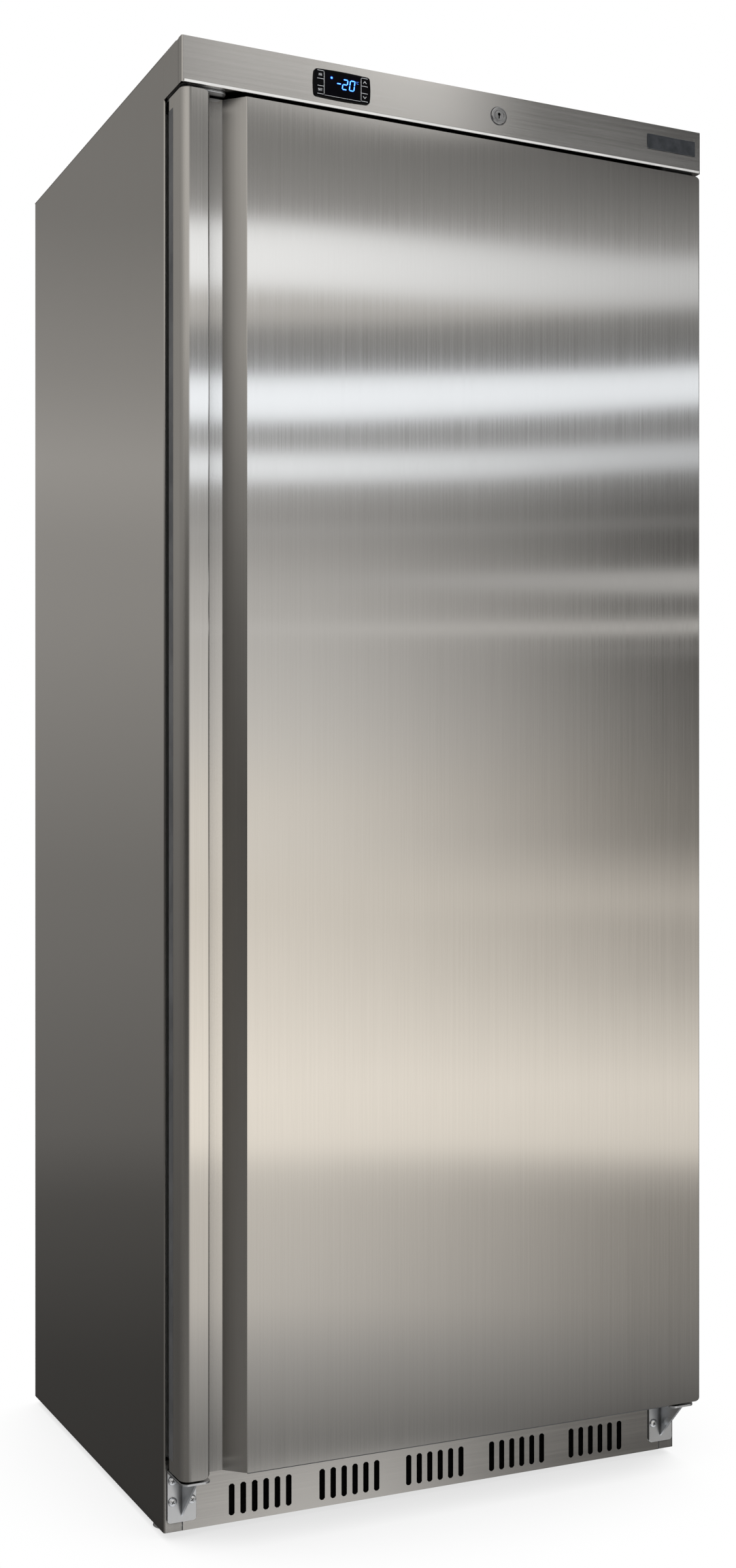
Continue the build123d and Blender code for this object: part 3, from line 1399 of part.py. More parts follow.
keep(
    bent_tube(
        [
            (STUB_END, SUCTION_Y, SUCTION_Z),
            (STUB_END + 2 * LINE_BEND, SUCTION_Y, SUCTION_Z),
            (STUB_END + 2 * LINE_BEND, SUCTION_Y, BAY_HEIGHT),
        ],
        LINE_BEND,
        LINE_TUBE,
    ),
    "suction_line",
)

# Mains connection box on the front wall of the bay, with a gland for the lead in its rear face.
box_x = -HALF + TERMINAL_INSET + TERMINAL_BOX[0] / 2
box_z = TRAY_TOP + TERMINAL_RISE
box_rear = Y_BAY + TERMINAL_BOX[1]
with BuildPart() as terminal_box:
    with Locations((box_x, Y_BAY + TERMINAL_BOX[1] / 2, box_z)):
        Box(*TERMINAL_BOX)
    chamfer(terminal_box.edges().filter_by(Axis.Y), BEND)
keep(terminal_box.part, "terminal_box")
with BuildPart() as cable_gland:
    with BuildSketch(Plane.XZ.offset(-box_rear)):
        with Locations((box_x, box_z)):
            RegularPolygon(GLAND_HEX / 2, 6, major_radius=False)
    extrude(amount=-GLAND_LENGTH / 2)
    with BuildSketch(Plane.XZ.offset(-box_rear - GLAND_LENGTH / 2)):
        with Locations((box_x, box_z)):
            Circle(GLAND_HEX / 2)
    extrude(amount=-GLAND_LENGTH / 2, taper=GLAND_TAPER)
    with BuildSketch(Plane.XZ.offset(-box_rear)):
        with Locations((box_x, box_z)):
            Circle(GLAND_BORE / 2)
    extrude(amount=-GLAND_LENGTH, mode=Mode.SUBTRACT)
keep(cable_gland.part, "cable_gland")

# The controller's probe in its clip on the back of the cabin.
with BuildPart() as temperature_probe:
    probe_z = CABIN_TOP - SHELF_HEADROOM / 2
    with Locations((0, CABIN_BACK - PROBE, probe_z)):
        Box(2 * PROBE, 2 * PROBE, 2 * PROBE)
        Cylinder(PROBE / 2, PROBE_LENGTH, rotation=(0, 90, 0))
keep(temperature_probe.part, "temperature_probe")
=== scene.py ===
# %% [markdown]
# # An upright freezer in brushed steel
#
# A service freezer is a box of folded steel sheet. What the eye reads is its folds, its narrow
# gaps and the way the brushed sheet smears the room into bands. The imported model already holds
# every solid in its right place, so this lesson gives the solids their finishes, replaces the
# ones whose small forms matter, and lights them like a plain photo studio.

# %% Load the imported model
import math

import bmesh
import bpy
from mathutils import Matrix, Vector


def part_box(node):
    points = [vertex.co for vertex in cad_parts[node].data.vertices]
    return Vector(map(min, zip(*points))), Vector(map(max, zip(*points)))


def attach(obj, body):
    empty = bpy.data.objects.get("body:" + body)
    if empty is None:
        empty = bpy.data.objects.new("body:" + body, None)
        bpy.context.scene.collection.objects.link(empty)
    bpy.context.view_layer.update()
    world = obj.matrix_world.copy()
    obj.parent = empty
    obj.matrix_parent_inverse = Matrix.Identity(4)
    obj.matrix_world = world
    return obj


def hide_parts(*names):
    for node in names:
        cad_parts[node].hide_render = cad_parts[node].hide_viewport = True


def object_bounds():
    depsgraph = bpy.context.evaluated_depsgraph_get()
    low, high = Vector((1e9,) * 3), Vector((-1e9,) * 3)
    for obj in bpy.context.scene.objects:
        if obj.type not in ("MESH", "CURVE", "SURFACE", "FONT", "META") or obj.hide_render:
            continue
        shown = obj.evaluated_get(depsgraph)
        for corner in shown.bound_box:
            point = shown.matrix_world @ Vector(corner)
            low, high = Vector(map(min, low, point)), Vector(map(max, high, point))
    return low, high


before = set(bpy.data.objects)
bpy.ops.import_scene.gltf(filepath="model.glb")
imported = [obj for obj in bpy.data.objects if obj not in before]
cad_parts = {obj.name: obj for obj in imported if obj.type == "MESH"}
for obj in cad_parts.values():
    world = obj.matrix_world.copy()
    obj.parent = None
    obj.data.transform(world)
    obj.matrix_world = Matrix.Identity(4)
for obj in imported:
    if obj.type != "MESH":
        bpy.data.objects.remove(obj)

for start_up in ("Cube", "Light", "Camera"):
    if start_up in bpy.data.objects:
        bpy.data.objects.remove(bpy.data.objects[start_up])

cad_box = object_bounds()
MM, MICRON = 0.001, 0.000001
print("the CAD box in metres:", [tuple(round(v, 4) for v in corner) for corner in cad_box])


def linked(name, data):
    """A new object in the scene that shows the data."""
    made = bpy.data.objects.new(name, data)
    bpy.context.scene.collection.objects.link(made)
    return made

# %% [markdown]
# ## The camera
#
# The photograph is taken from the front left at breast height, with the camera held level and
# the picture shifted, so that all upright edges stay upright. A level camera with a little
# vertical shift does the same. Its place was worked out from corners whose real places are known.

# %% Camera
EYE = (-1.1541, -2.5216, 0.9169)
TURN_RIGHT = math.radians(25.143)
PICTURE_HIGH, HORIZON_ROW, FOCAL_PIXELS = 2305, 1208.6, 2718.6
SENSOR_HIGH = 36

camera_data = bpy.data.cameras.new("level_camera")
camera_data.sensor_fit = "VERTICAL"
camera_data.sensor_height = SENSOR_HIGH
camera_data.lens = SENSOR_HIGH * FOCAL_PIXELS / PICTURE_HIGH
camera_data.shift_y = (HORIZON_ROW - PICTURE_HIGH / 2) / PICTURE_HIGH
camera = linked("level_camera", camera_data)
camera.location = EYE
camera.rotation_euler = (math.pi / 2, 0, -TURN_RIGHT)
bpy.context.scene.camera = camera
bpy.context.scene.view_settings.view_transform = "Standard"
print(f"lens {camera_data.lens:.2f} mm, shift {camera_data.shift_y:.4f}")

# %% [markdown]
# ## Small helpers for node trees
#
# Every finish below is a tree of nodes. Writing `tree.nodes.new` and `tree.links.new` for each
# of them hides the idea of a finish in plumbing. So one helper fills a node's sockets with
# values or links, one makes a node, and the others make the steps that come most often.

# %% Node helpers
def fill(tree, node, sockets):
    """Each named socket of the node gets a value, or a link when it is given a socket."""
    for key, value in sockets.items():
        if isinstance(value, bpy.types.NodeSocket):
            tree.links.new(value, node.inputs[key])
        else:
            node.inputs[key].default_value = value


def put(tree, kind, sockets=None, **settings):
    """The outputs of a new node, set and filled; it is a shader node if its kind has no Node."""
    made = tree.nodes.new(kind if "Node" in kind else "ShaderNode" + kind)
    for key, value in settings.items():
        setattr(made, key, value)
    fill(tree, made, sockets or {})
    return made.outputs


def work_out(tree, operation, *values, clamp=False):
    """One step of arithmetic."""
    sockets = dict(enumerate(values))
    return put(tree, "Math", sockets, operation=operation, use_clamp=clamp)[0]


def between(tree, value, low, high, start=0.0, end=1.0):
    """A soft step: start below low, end above high, smooth in between."""
    sockets = {"Value": value, "From Min": low, "From Max": high, "To Min": start, "To Max": end}
    return put(tree, "MapRange", sockets, interpolation_type="SMOOTHSTEP")["Result"]


def blend(tree, how_much, first, second):
    """A colour between two others."""
    sockets = {0: how_much, 6: first, 7: second}
    return put(tree, "Mix", sockets, data_type="RGBA")[2]


def stretched(tree, place, per_metre):
    """The place counted in units of its own along each axis."""
    return put(tree, "VectorMath", {0: place, 1: per_metre}, operation="MULTIPLY")[0]


def noise(tree, place, scale, detail, roughness=0.5):
    """Clouds of values about one half."""
    return put(tree, "TexNoise", {
        "Vector": place, "Scale": scale, "Detail": detail, "Roughness": roughness})[0]


def bump(tree, height, distance, **normal):
    """A normal bent by a height; a normal that is bent already can be given as Normal."""
    sockets = {"Strength": 1.0, "Distance": distance, "Height": height, **normal}
    return put(tree, "Bump", sockets)[0]


def grey(level, warmth=0.0):
    """A colour from one brightness, a little red or blue by its warmth."""
    return (level * (1 + warmth), level, level * (1 - 1.4 * warmth), 1)


def bare_tree(thing):
    """The node tree of a material or a world, with nothing in it."""
    thing.use_nodes = True
    thing.node_tree.nodes.clear()
    return thing.node_tree

# %% [markdown]
# ## The studio that the steel mirrors
#
# Brushed steel has hardly a colour of its own: it shows the room. The room here is a large dome
# with soft strip lamps, seen by reflections only, so it shapes the steel without lighting it.
# On an upright door a reflection keeps its slope, so a strip lamp at one height becomes one
# level band on the door. Each lamp hangs a little askew, and the wall gets dimmer to the right.

# %% Walls and strip lamps of the studio dome
DOME_RADIUS = 300.0
FRONT_WALL = [
    # slope of the ray (its z), brightness at the left, at the right, warmth
    (-0.32, 0.28, 0.08, 0.01), (-0.28, 0.52, 0.20, 0.02), (-0.253, 0.74, 0.26, 0.04),
    (-0.20, 0.80, 0.33, 0.05), (-0.186, 0.86, 0.48, 0.05), (-0.172, 1.15, 0.92, 0.06),
    (-0.142, 1.18, 1.00, 0.06), (-0.085, 1.05, 0.58, 0.06), (-0.056, 0.98, 0.48, 0.06),
    (-0.042, 0.95, 0.61, 0.06), (-0.010, 0.98, 0.25, 0.05), (0.012, 0.96, 0.21, 0.05),
    (0.048, 0.86, 0.16, 0.03), (0.085, 0.76, 0.11, 0.02), (0.125, 0.66, 0.13, 0.015),
    (0.163, 0.45, 0.09, 0.01), (0.178, 0.52, 0.20, 0.0), (0.205, 0.44, 0.27, -0.01),
    (0.241, 0.36, 0.26, -0.02), (0.249, 0.32, 0.22, 0.0), (0.290, 0.60, 0.32, 0.01),
    (0.320, 0.40, 0.18, 0.01), (0.345, 0.30, 0.12, 0.01), (0.375, 0.28, 0.10, 0.01),
]
STRIP_LAMPS = [
    # lower rim at the left and right, upper rim at the left and right, softness,
    # brightness at the left and right, warmth, how far to the right it starts
    (0.2605, 0.2675, 0.2850, 0.2700, 0.003, 0.68, 0.58, 0.02, -1.0),
    (0.2785, 0.2660, 0.3115, 0.2890, 0.005, 1.38, 0.82, -0.02, -1.0),
    (0.2125, 0.2185, 0.2360, 0.2380, 0.003, 1.58, 1.38, -0.05, -1.0),
    (0.1815, 0.1870, 0.1965, 0.2005, 0.003, 1.44, 0.86, -0.04, -1.0),
    (0.1545, 0.1575, 0.1590, 0.1620, 0.0015, 0.58, 0.30, 0.0, -1.0),
    (0.1290, 0.1225, 0.1330, 0.1350, 0.0015, 0.58, 0.66, 0.0, 0.20),
    (0.1020, 0.1020, 0.1060, 0.1080, 0.0015, 0.80, 0.92, 0.01, -1.0),
    (0.0910, 0.0900, 0.0930, 0.0935, 0.0015, 0.60, 0.28, 0.01, 0.50),
]
LAMP_END = 0.12  # how softly a lamp starts on its way to the right
# The other walls: where a ray goes sideways or how steep it is, and the brightness there.
CANOPY_WALL = [(0.34, 0.46), (0.385, 0.76), (0.43, 0.74), (0.47, 1.00), (0.525, 1.08),
               (0.55, 0.62), (0.572, 0.24), (0.60, 0.14), (0.64, 0.18), (0.69, 0.07)]
PLINTH_WALL = [(0.34, 0.58), (0.43, 0.80), (0.487, 0.70), (0.543, 0.36), (0.606, 0.14),
               (0.67, 0.09)]
LEFT_WALL = [(-0.36, 0.16), (-0.28, 0.17), (-0.14, 0.12), (0.0, 0.06), (0.15, 0.17),
             (0.27, 0.60), (0.36, 0.62)]
REAR_WALL = [(-0.40, 0.04), (-0.28, 0.06), (-0.20, 0.105), (-0.165, 0.165), (-0.07, 0.22),
             (-0.026, 0.235), (0.105, 0.355), (0.15, 0.37), (0.19, 0.44), (0.235, 0.345),
             (0.31, 0.25)]
# How far sideways the rays from the door's left edge go, how much more those from its right
# edge, and how the places crowd towards the left.
DOOR_LEFT, DOOR_SPAN, CROWDING = 0.40, 0.29, 1.15
# The same for the case's left edge, and the lean and slopes of the rims of two more walls.
CASE_LEFT, CANOPY_LEAN, PLINTH_LEAN = 0.352, 0.1266, 0.1162
CANOPY_RIM, PLINTH_RIM = (0.3695, 0.3735), (0.338, 0.343)


def wall(tree, along, stops, start=-0.5):
    """A colour by a table of (place, colour), the places running from start to start + 1."""
    ramp = tree.nodes.new("ShaderNodeValToRGB")
    fill(tree, ramp, {0: work_out(tree, "SUBTRACT", along, start)})
    ends = ramp.color_ramp.elements
    while len(ends) > 1:
        ends.remove(ends[0])
    for n, (at, colour) in enumerate(stops):
        stop = ends[0] if n == 0 else ends.new(at - start)
        stop.position, stop.color = at - start, colour
    return ramp.outputs["Color"]


def studio_light(tree):
    """The colour of the light that comes in from each direction."""
    place = put(tree, "TexCoord")["Object"]
    axes = put(tree, "SeparateXYZ", {
        0: put(tree, "VectorMath", {0: place}, operation="NORMALIZE")[0]})
    slope = axes["Z"]
    side = work_out(tree, "DIVIDE", axes["X"], work_out(tree, "ABSOLUTE", axes["Y"]))

    def slanted(left, right):
        """How far the ray lies above a rim with these slopes at the door's two sides."""
        rim = work_out(tree, "MULTIPLY_ADD", across, right - left, left)
        return work_out(tree, "SUBTRACT", slope, rim)

    def plain_wall(along, table, warmth, start=-0.5):
        return wall(tree, along, [(at, grey(v, warmth)) for at, v in table], start)

    # 0 at the door's left side, 1 at its right side
    across = work_out(
        tree, "MULTIPLY_ADD", side, 1 / DOOR_SPAN, -DOOR_LEFT / DOOR_SPAN, clamp=True)
    across = work_out(tree, "POWER", across, CROWDING)
    light = blend(tree, across, *(
        wall(tree, slope, [(row[0], grey(row[n], row[3])) for row in FRONT_WALL]) for n in (1, 2)))
    for low_l, low_r, high_l, high_r, soft, left, right, warm, start in STRIP_LAMPS:
        band = work_out(
            tree, "MULTIPLY", between(tree, slanted(low_l, low_r), -soft, soft),
            between(tree, slanted(high_l, high_r), -soft, soft, 1.0, 0.0))
        band = work_out(
            tree, "MULTIPLY", band, between(tree, across, start - LAMP_END, start + LAMP_END))
        light = blend(tree, band, light, blend(tree, across, grey(left, warm), grey(right, warm)))
    # Over and under the door's own slopes hang the walls that the canopy and the plinth mirror.
    lean = work_out(tree, "SUBTRACT", side, CASE_LEFT)
    over = work_out(tree, "MULTIPLY_ADD", lean, CANOPY_LEAN, slope)
    light = blend(
        tree, between(tree, over, *CANOPY_RIM), light, plain_wall(side, CANOPY_WALL, 0.01, 0.0))
    under = work_out(tree, "SUBTRACT", work_out(tree, "MULTIPLY", lean, PLINTH_LEAN), slope)
    light = blend(
        tree, between(tree, under, *PLINTH_RIM), light, plain_wall(side, PLINTH_WALL, 0.01, 0.0))
    # The wall on the left is dark at breast height, behind the object the studio is dim, and
    # the ceiling and the floor are pale.
    leftwards = between(tree, side, -0.35, 0.15, 1.0, 0.0)
    light = blend(tree, leftwards, light, plain_wall(slope, LEFT_WALL, 0.03))
    rearwards = between(tree, axes["Y"], -0.12, 0.30)
    light = blend(tree, rearwards, light, plain_wall(slope, REAR_WALL, 0.03))
    light = blend(tree, between(tree, slope, 0.55, 0.75), light, grey(0.85))
    ground = blend(tree, rearwards, grey(0.85), grey(0.08))
    return blend(tree, between(tree, slope, -0.60, -0.46, 1.0, 0.0), light, ground)


def studio_dome():
    """The shell that carries the studio's light to reflections, and to nothing else."""
    mesh = bpy.data.meshes.new("studio_dome")
    shell = bmesh.new()
    bmesh.ops.create_uvsphere(shell, u_segments=48, v_segments=24, radius=DOME_RADIUS)
    bmesh.ops.reverse_faces(shell, faces=shell.faces)
    shell.to_mesh(mesh)
    dome = linked("studio_dome", mesh)
    dome.location = (0, 0, EYE[2])
    for kind in ("camera", "diffuse", "transmission", "volume_scatter", "shadow"):
        setattr(dome, f"visible_{kind}", False)
    paint = bpy.data.materials.new("studio_dome")
    tree = bare_tree(paint)
    glow = put(tree, "Emission", {"Color": studio_light(tree), "Strength": 1.0})
    put(tree, "OutputMaterial", {"Surface": glow[0]})
    mesh.materials.append(paint)
    return dome


studio_dome()
print("strips on the dome:", len(STRIP_LAMPS))

# %% [markdown]
# ## White ground, soft lamps
#
# The picture has a white ground, so the world and the floor are white to the camera, to glass
# and to reflections that pass the dome. The floor darkens where little sky reaches it, which
# keeps the shadow under the case. The lamps light only what has a colour of its own, such as
# the plastics and the paint, at a level at which a colour comes out as it is written.

# %% World, floor and lamps
def two_faced(tree, end, real, shown):
    """Ends a tree: shown meets camera, glossy and see-through rays, real the rest."""
    path = put(tree, "LightPath")
    seen = work_out(tree, "MAXIMUM", path["Is Camera Ray"], path["Is Glossy Ray"])
    seen = work_out(tree, "MAXIMUM", seen, path["Is Transmission Ray"])
    both = put(tree, "MixShader", {0: seen, 1: real, 2: shown})
    put(tree, end, {"Surface": both[0]})


FILL_LIGHT = 0.42
world = bpy.data.worlds.new("white_studio")
bpy.context.scene.world = world
tree = bare_tree(world)
two_faced(tree, "OutputWorld", *(
    put(tree, "Background", {"Color": grey(1.0), "Strength": strength})[0]
    for strength in (FILL_LIGHT, 1.0)))

FLOOR_SIZE, SHADOW_REACH, DARKEST = 40.0, 0.45, 0.72
floor_mesh = bpy.data.meshes.new("studio_floor")
sheet = bmesh.new()
bmesh.ops.create_grid(sheet, x_segments=1, y_segments=1, size=FLOOR_SIZE)
sheet.to_mesh(floor_mesh)
floor = linked("studio_floor", floor_mesh)
floor.visible_glossy = False
paint = bpy.data.materials.new("studio_floor")
tree = bare_tree(paint)
nearby = put(tree, "AmbientOcclusion", {"Distance": SHADOW_REACH}, samples=32)["AO"]
shade = between(tree, nearby, 0.05, 0.80, DARKEST, 1.0)
look = put(tree, "Emission", {"Color": grey(1.0), "Strength": shade})
dull = put(tree, "BsdfDiffuse", {"Color": grey(0.7)})
two_faced(tree, "OutputMaterial", dull[0], look[0])
floor_mesh.materials.append(paint)

LAMP_SIZE, CASE_MIDDLE = 2.4, Vector((0, 0, 0.95))
LAMPS = {  # each lamp's place in metres and its power in watts
    "front_left_lamp": ((-2.8, -3.4, 2.6), 150), "front_right_lamp": ((2.6, -3.2, 1.8), 60),
    "rear_lamp": ((0.8, 3.6, 2.4), 90), "top_lamp": ((0, 0, 4.2), 60),
}
for name, (place, power) in LAMPS.items():
    data = bpy.data.lights.new(name, "AREA")
    data.size, data.energy = LAMP_SIZE, power
    lamp = linked(name, data)
    lamp.location = place
    lamp.rotation_euler = (CASE_MIDDLE - Vector(place)).to_track_quat("-Z", "Y").to_euler()
    lamp.visible_glossy = False
print("lamps:", len(LAMPS))

# %% [markdown]
# ## Effects that several finishes share
#
# Brushing is thousands of fine scratches in one direction. Stretching a noise a thousand times
# in that direction gives them. The same noise, less stretched, gives the broader cloudy streaks
# of a used belt. A second group gives the slight waviness of thin sheet over foam, which is why
# the bands on the door aren't ruler-straight. A third marks edges for another colour: a pale
# worn look on most pieces, and a painted dark reflection on the lock's rims. A fourth tells how
# deep in a gap or groove a point lies, and there the colour is darkened as painted shade.

# %% Shared effect groups
def new_group(name, kind, inputs, outputs):
    """A node group with named sockets and no steps: itself, its entry, exit and input ids."""
    group = bpy.data.node_groups.new(name, kind + "NodeTree")
    ids = {}
    for label, socket_kind, value in inputs:
        socket = group.interface.new_socket(
            label, in_out="INPUT", socket_type="NodeSocket" + socket_kind)
        ids[label] = socket.identifier
        if value is not None:
            socket.default_value = value
    for label, socket_kind in outputs:
        group.interface.new_socket(
            label, in_out="OUTPUT", socket_type="NodeSocket" + socket_kind)
    entry, out = (group.nodes.new("NodeGroup" + end) for end in ("Input", "Output"))
    return group, entry.outputs, out, ids


def brushing_group():
    group, given, out, _ = new_group(
        "brushing", "Shader",
        [("Place", "Vector", None), ("Scratches per metre", "Vector", (1, 1, 1)),
         ("Cloudiness", "Float", 0.3)], [("Scratch", "Float"), ("Cloud", "Float")])
    fine = stretched(group, given["Place"], given["Scratches per metre"])
    scratch = work_out(group, "MULTIPLY", noise(group, fine, 1.0, 3.0, 0.7), 0.55)
    streak = noise(group, stretched(group, fine, (0.16, 0.16, 0.16)), 1.0, 2.0)
    mixed = work_out(group, "MULTIPLY_ADD", streak, 0.45, scratch)
    spots = work_out(group, "SUBTRACT", noise(group, given["Place"], 9.0, 4.0, 0.6), 0.5)
    fill(group, out, {
        "Scratch": between(group, mixed, 0.30, 0.70),
        "Cloud": work_out(group, "MULTIPLY_ADD", spots, given["Cloudiness"], 0.5)})
    return group


def sheet_wave_group():
    group, given, out, _ = new_group(
        "sheet_wave", "Shader",
        [("Place", "Vector", None), ("Waves per metre", "Vector", (1, 1, 1)),
         ("Seed", "Float", 0.0)], [("Height", "Float")])
    slow = put(group, "TexNoise", {
        "Vector": stretched(group, given["Place"], given["Waves per metre"]),
        "W": given["Seed"], "Scale": 1.0, "Detail": 1.2, "Roughness": 0.4}, noise_dimensions="4D")
    fill(group, out, {"Height": slow[0]})
    return group


def edge_wear_and_reflection_group():
    # Marks edges for another colour: a pale worn edge on most finishes, a painted dark reflection
    # on the lock's rims.
    group, given, out, _ = new_group(
        "edge_wear_and_reflection", "Shader", [("Width", "Float", 0.001), ("Place", "Vector", None)],
        [("Rubbed", "Float")])
    edge = put(group, "AmbientOcclusion", {"Distance": given["Width"]},
               samples=6, inside=True, only_local=True)
    near = between(group, edge["AO"], 0.35, 0.75, 1.0, 0.0)
    patch = between(group, noise(group, given["Place"], 60.0, 3.0), 0.35, 0.65)
    fill(group, out, {"Rubbed": work_out(group, "MULTIPLY", near, patch)})
    return group


def recess_shade_group():
    # Painted shade: the more a point is hemmed in by nearby surfaces, the darker its colour is
    # made.
    group, given, out, _ = new_group(
        "recess", "Shader", [("Reach", "Float", 0.03)], [("Depth", "Float")])
    nearby = put(group, "AmbientOcclusion", {"Distance": given["Reach"]}, samples=8)
    fill(group, out, {"Depth": between(group, nearby["AO"], 0.30, 0.88, 1.0, 0.0)})
    return group


BRUSHING, SHEET_WAVE = brushing_group(), sheet_wave_group()
EDGE_WEAR_AND_REFLECTION, RECESS_SHADE = edge_wear_and_reflection_group(), recess_shade_group()
print("effect groups:", BRUSHING.name, SHEET_WAVE.name, EDGE_WEAR_AND_REFLECTION.name, RECESS_SHADE.name)

# %% [markdown]
# ## Brushed steel, up and down or across
#
# A scratch mirrors sharply along itself and smears across itself. The door and the sides are
# brushed up and down, so lamps smear sideways into level bands with crisp rims. The canopy and
# the plinth are brushed across, so there the bands melt together. The Principled shader has
# this as anisotropy, and a Tangent node tells it which way the scratches run.

# %% Brushed steel
STEEL_DARK, STEEL_LIGHT = (0.56, 0.545, 0.52, 1), (0.66, 0.645, 0.62, 1)
# Painted shade: the near-black colours that steel and coats take deep in gaps and grooves.
STEEL_SHADE_IN_GAPS, COAT_SHADE_IN_GAPS = (0.02, 0.02, 0.02, 1), (0.015, 0.016, 0.018, 1)
SCRATCH_DEPTH = 0.6 * MICRON
ALONG, ACROSS = 14, 2600  # scratches per metre along the brushing and across it


def new_finish(name):
    """An empty finish: its tree, its Principled shader and the place on the piece."""
    finish = bpy.data.materials.new(name)
    finish.use_nodes = True
    tree = finish.node_tree
    place = put(tree, "TexCoord")["Object"]
    return finish, tree, tree.nodes["Principled BSDF"], place


def use(tree, group, **sockets):
    """The outputs of a shared group; a socket's name is written with _ for each space."""
    named = {key.replace("_", " "): value for key, value in sockets.items()}
    return put(tree, "Group", named, node_tree=group)


def brushed_steel(name, across, roughness, wave_height, seed, cloudiness=0.3, spread=0.95,
                  dull_sides=0.0, reach=0.03):
    """Stainless sheet brushed up and down, or across it; its folded sides can be duller."""
    finish, tree, shader, place = new_finish(name)
    per_metre = (ALONG, ALONG, ACROSS) if across else (ACROSS, ACROSS, ALONG)
    brushed = use(
        tree, BRUSHING, Place=place, Scratches_per_metre=per_metre, Cloudiness=cloudiness)
    tone = work_out(tree, "MULTIPLY_ADD", brushed["Cloud"], 0.6,
                    work_out(tree, "MULTIPLY", brushed["Scratch"], 0.4))
    # Painted shade: deep in gaps and grooves the steel's colour turns near black.
    depth = use(tree, RECESS_SHADE, Reach=reach)["Depth"]
    rough = between(tree, tone, 0.2, 0.8, roughness * 0.85, roughness * 1.2)
    if dull_sides:
        normal = put(tree, "TexCoord")["Normal"]
        facing = put(tree, "SeparateXYZ", {0: normal})["X"]
        turned = between(tree, work_out(tree, "ABSOLUTE", facing), 0.35, 0.98)
        rough = work_out(tree, "MULTIPLY_ADD", turned, dull_sides, rough)
    wave = use(tree, SHEET_WAVE, Place=place, Waves_per_metre=(1.3, 1.3, 2.4), Seed=seed)
    bulge = bump(tree, wave["Height"], wave_height)
    fill(tree, shader, {
        "Base Color": blend(tree, depth, blend(tree, tone, STEEL_DARK, STEEL_LIGHT), STEEL_SHADE_IN_GAPS),
        "Metallic": 1.0, "Roughness": rough,
        "Normal": bump(tree, brushed["Scratch"], SCRATCH_DEPTH, Normal=bulge),
        "Tangent": put(tree, "Tangent", direction_type="RADIAL", axis="Z")[0],
        "Anisotropic": spread, "Anisotropic Rotation": 0.25 if across else 0.0})
    return finish


door_steel = brushed_steel("brushed_door", False, 0.09, 0.0004, 3.1, dull_sides=0.34)
side_steel = brushed_steel("brushed_side", False, 0.16, 0.0009, 7.4)
front_steel = brushed_steel("brushed_front", True, 0.12, 0.0004, 1.7, 0.4, 0.6, reach=0.0015)
print("steels:", door_steel.name, side_steel.name, front_steel.name)

# %% [markdown]
# ## Coated, plated and moulded finishes
#
# The other pieces are zinc-plated, galvanised or enamelled steel, copper, rubber and plastics.
# One builder serves them: a colour that drifts in slow clouds, a fine surface texture with its
# own size and depth, edges of another colour, worn on most pieces and a painted dark reflection
# on the lock, and on some a painted shade that darkens gaps. Their values make them differ.

# %% Plain finishes
def coated(name, dark, light, roughness, metallic, clouds, texture, depth,
           edge=None, edge_width=1.2, gloss=None, shine=0.5, reach=None):
    """Paint, plating or plastic with clouds of tone, a fine texture, edges of another colour and
    painted shade in gaps.

    The depth of the texture is in microns, the width of edges and the reach of gaps in mm."""
    finish, tree, shader, place = new_finish(name)
    cloud = noise(tree, place, clouds, 5.0, 0.6)
    colour = blend(tree, between(tree, cloud, 0.3, 0.7), (*dark, 1), (*light, 1))
    if edge:
        rubbed = use(tree, EDGE_WEAR_AND_REFLECTION, Place=place, Width=edge_width * MM)["Rubbed"]
        colour = blend(tree, rubbed, colour, (*edge, 1))
    # Painted shade: within the reach of nearby surfaces the colour turns near black.
    if reach:
        colour = blend(tree, use(tree, RECESS_SHADE, Reach=reach * MM)["Depth"], colour, COAT_SHADE_IN_GAPS)
    fill(tree, shader, {
        "Base Color": colour, "Metallic": metallic, "Specular IOR Level": shine,
        "Roughness": between(tree, cloud, 0.25, 0.75, roughness * 1.15, roughness * 0.85),
        "Normal": bump(tree, noise(tree, place, texture, 2.0), depth * MICRON)})
    if gloss:
        fill(tree, shader, {"Coat Weight": gloss, "Coat Roughness": 0.08})
    return finish


def spangled_zinc():
    """Hot-dip galvanised sheet: crystals of slightly different greys, each with its own sheen."""
    finish, tree, shader, place = new_finish("galvanised")
    crystal = put(
        tree, "TexVoronoi", {"Vector": place, "Scale": 110.0, "Randomness": 1.0})
    grain = put(tree, "SeparateColor", {0: crystal["Color"]})[0]
    fill(tree, shader, {
        "Base Color": blend(tree, grain, (0.50, 0.51, 0.52, 1), (0.66, 0.67, 0.68, 1)),
        "Metallic": 0.9, "Roughness": between(tree, grain, 0.0, 1.0, 0.30, 0.48),
        "Normal": bump(tree, crystal["Distance"], 30 * MICRON)})
    return finish
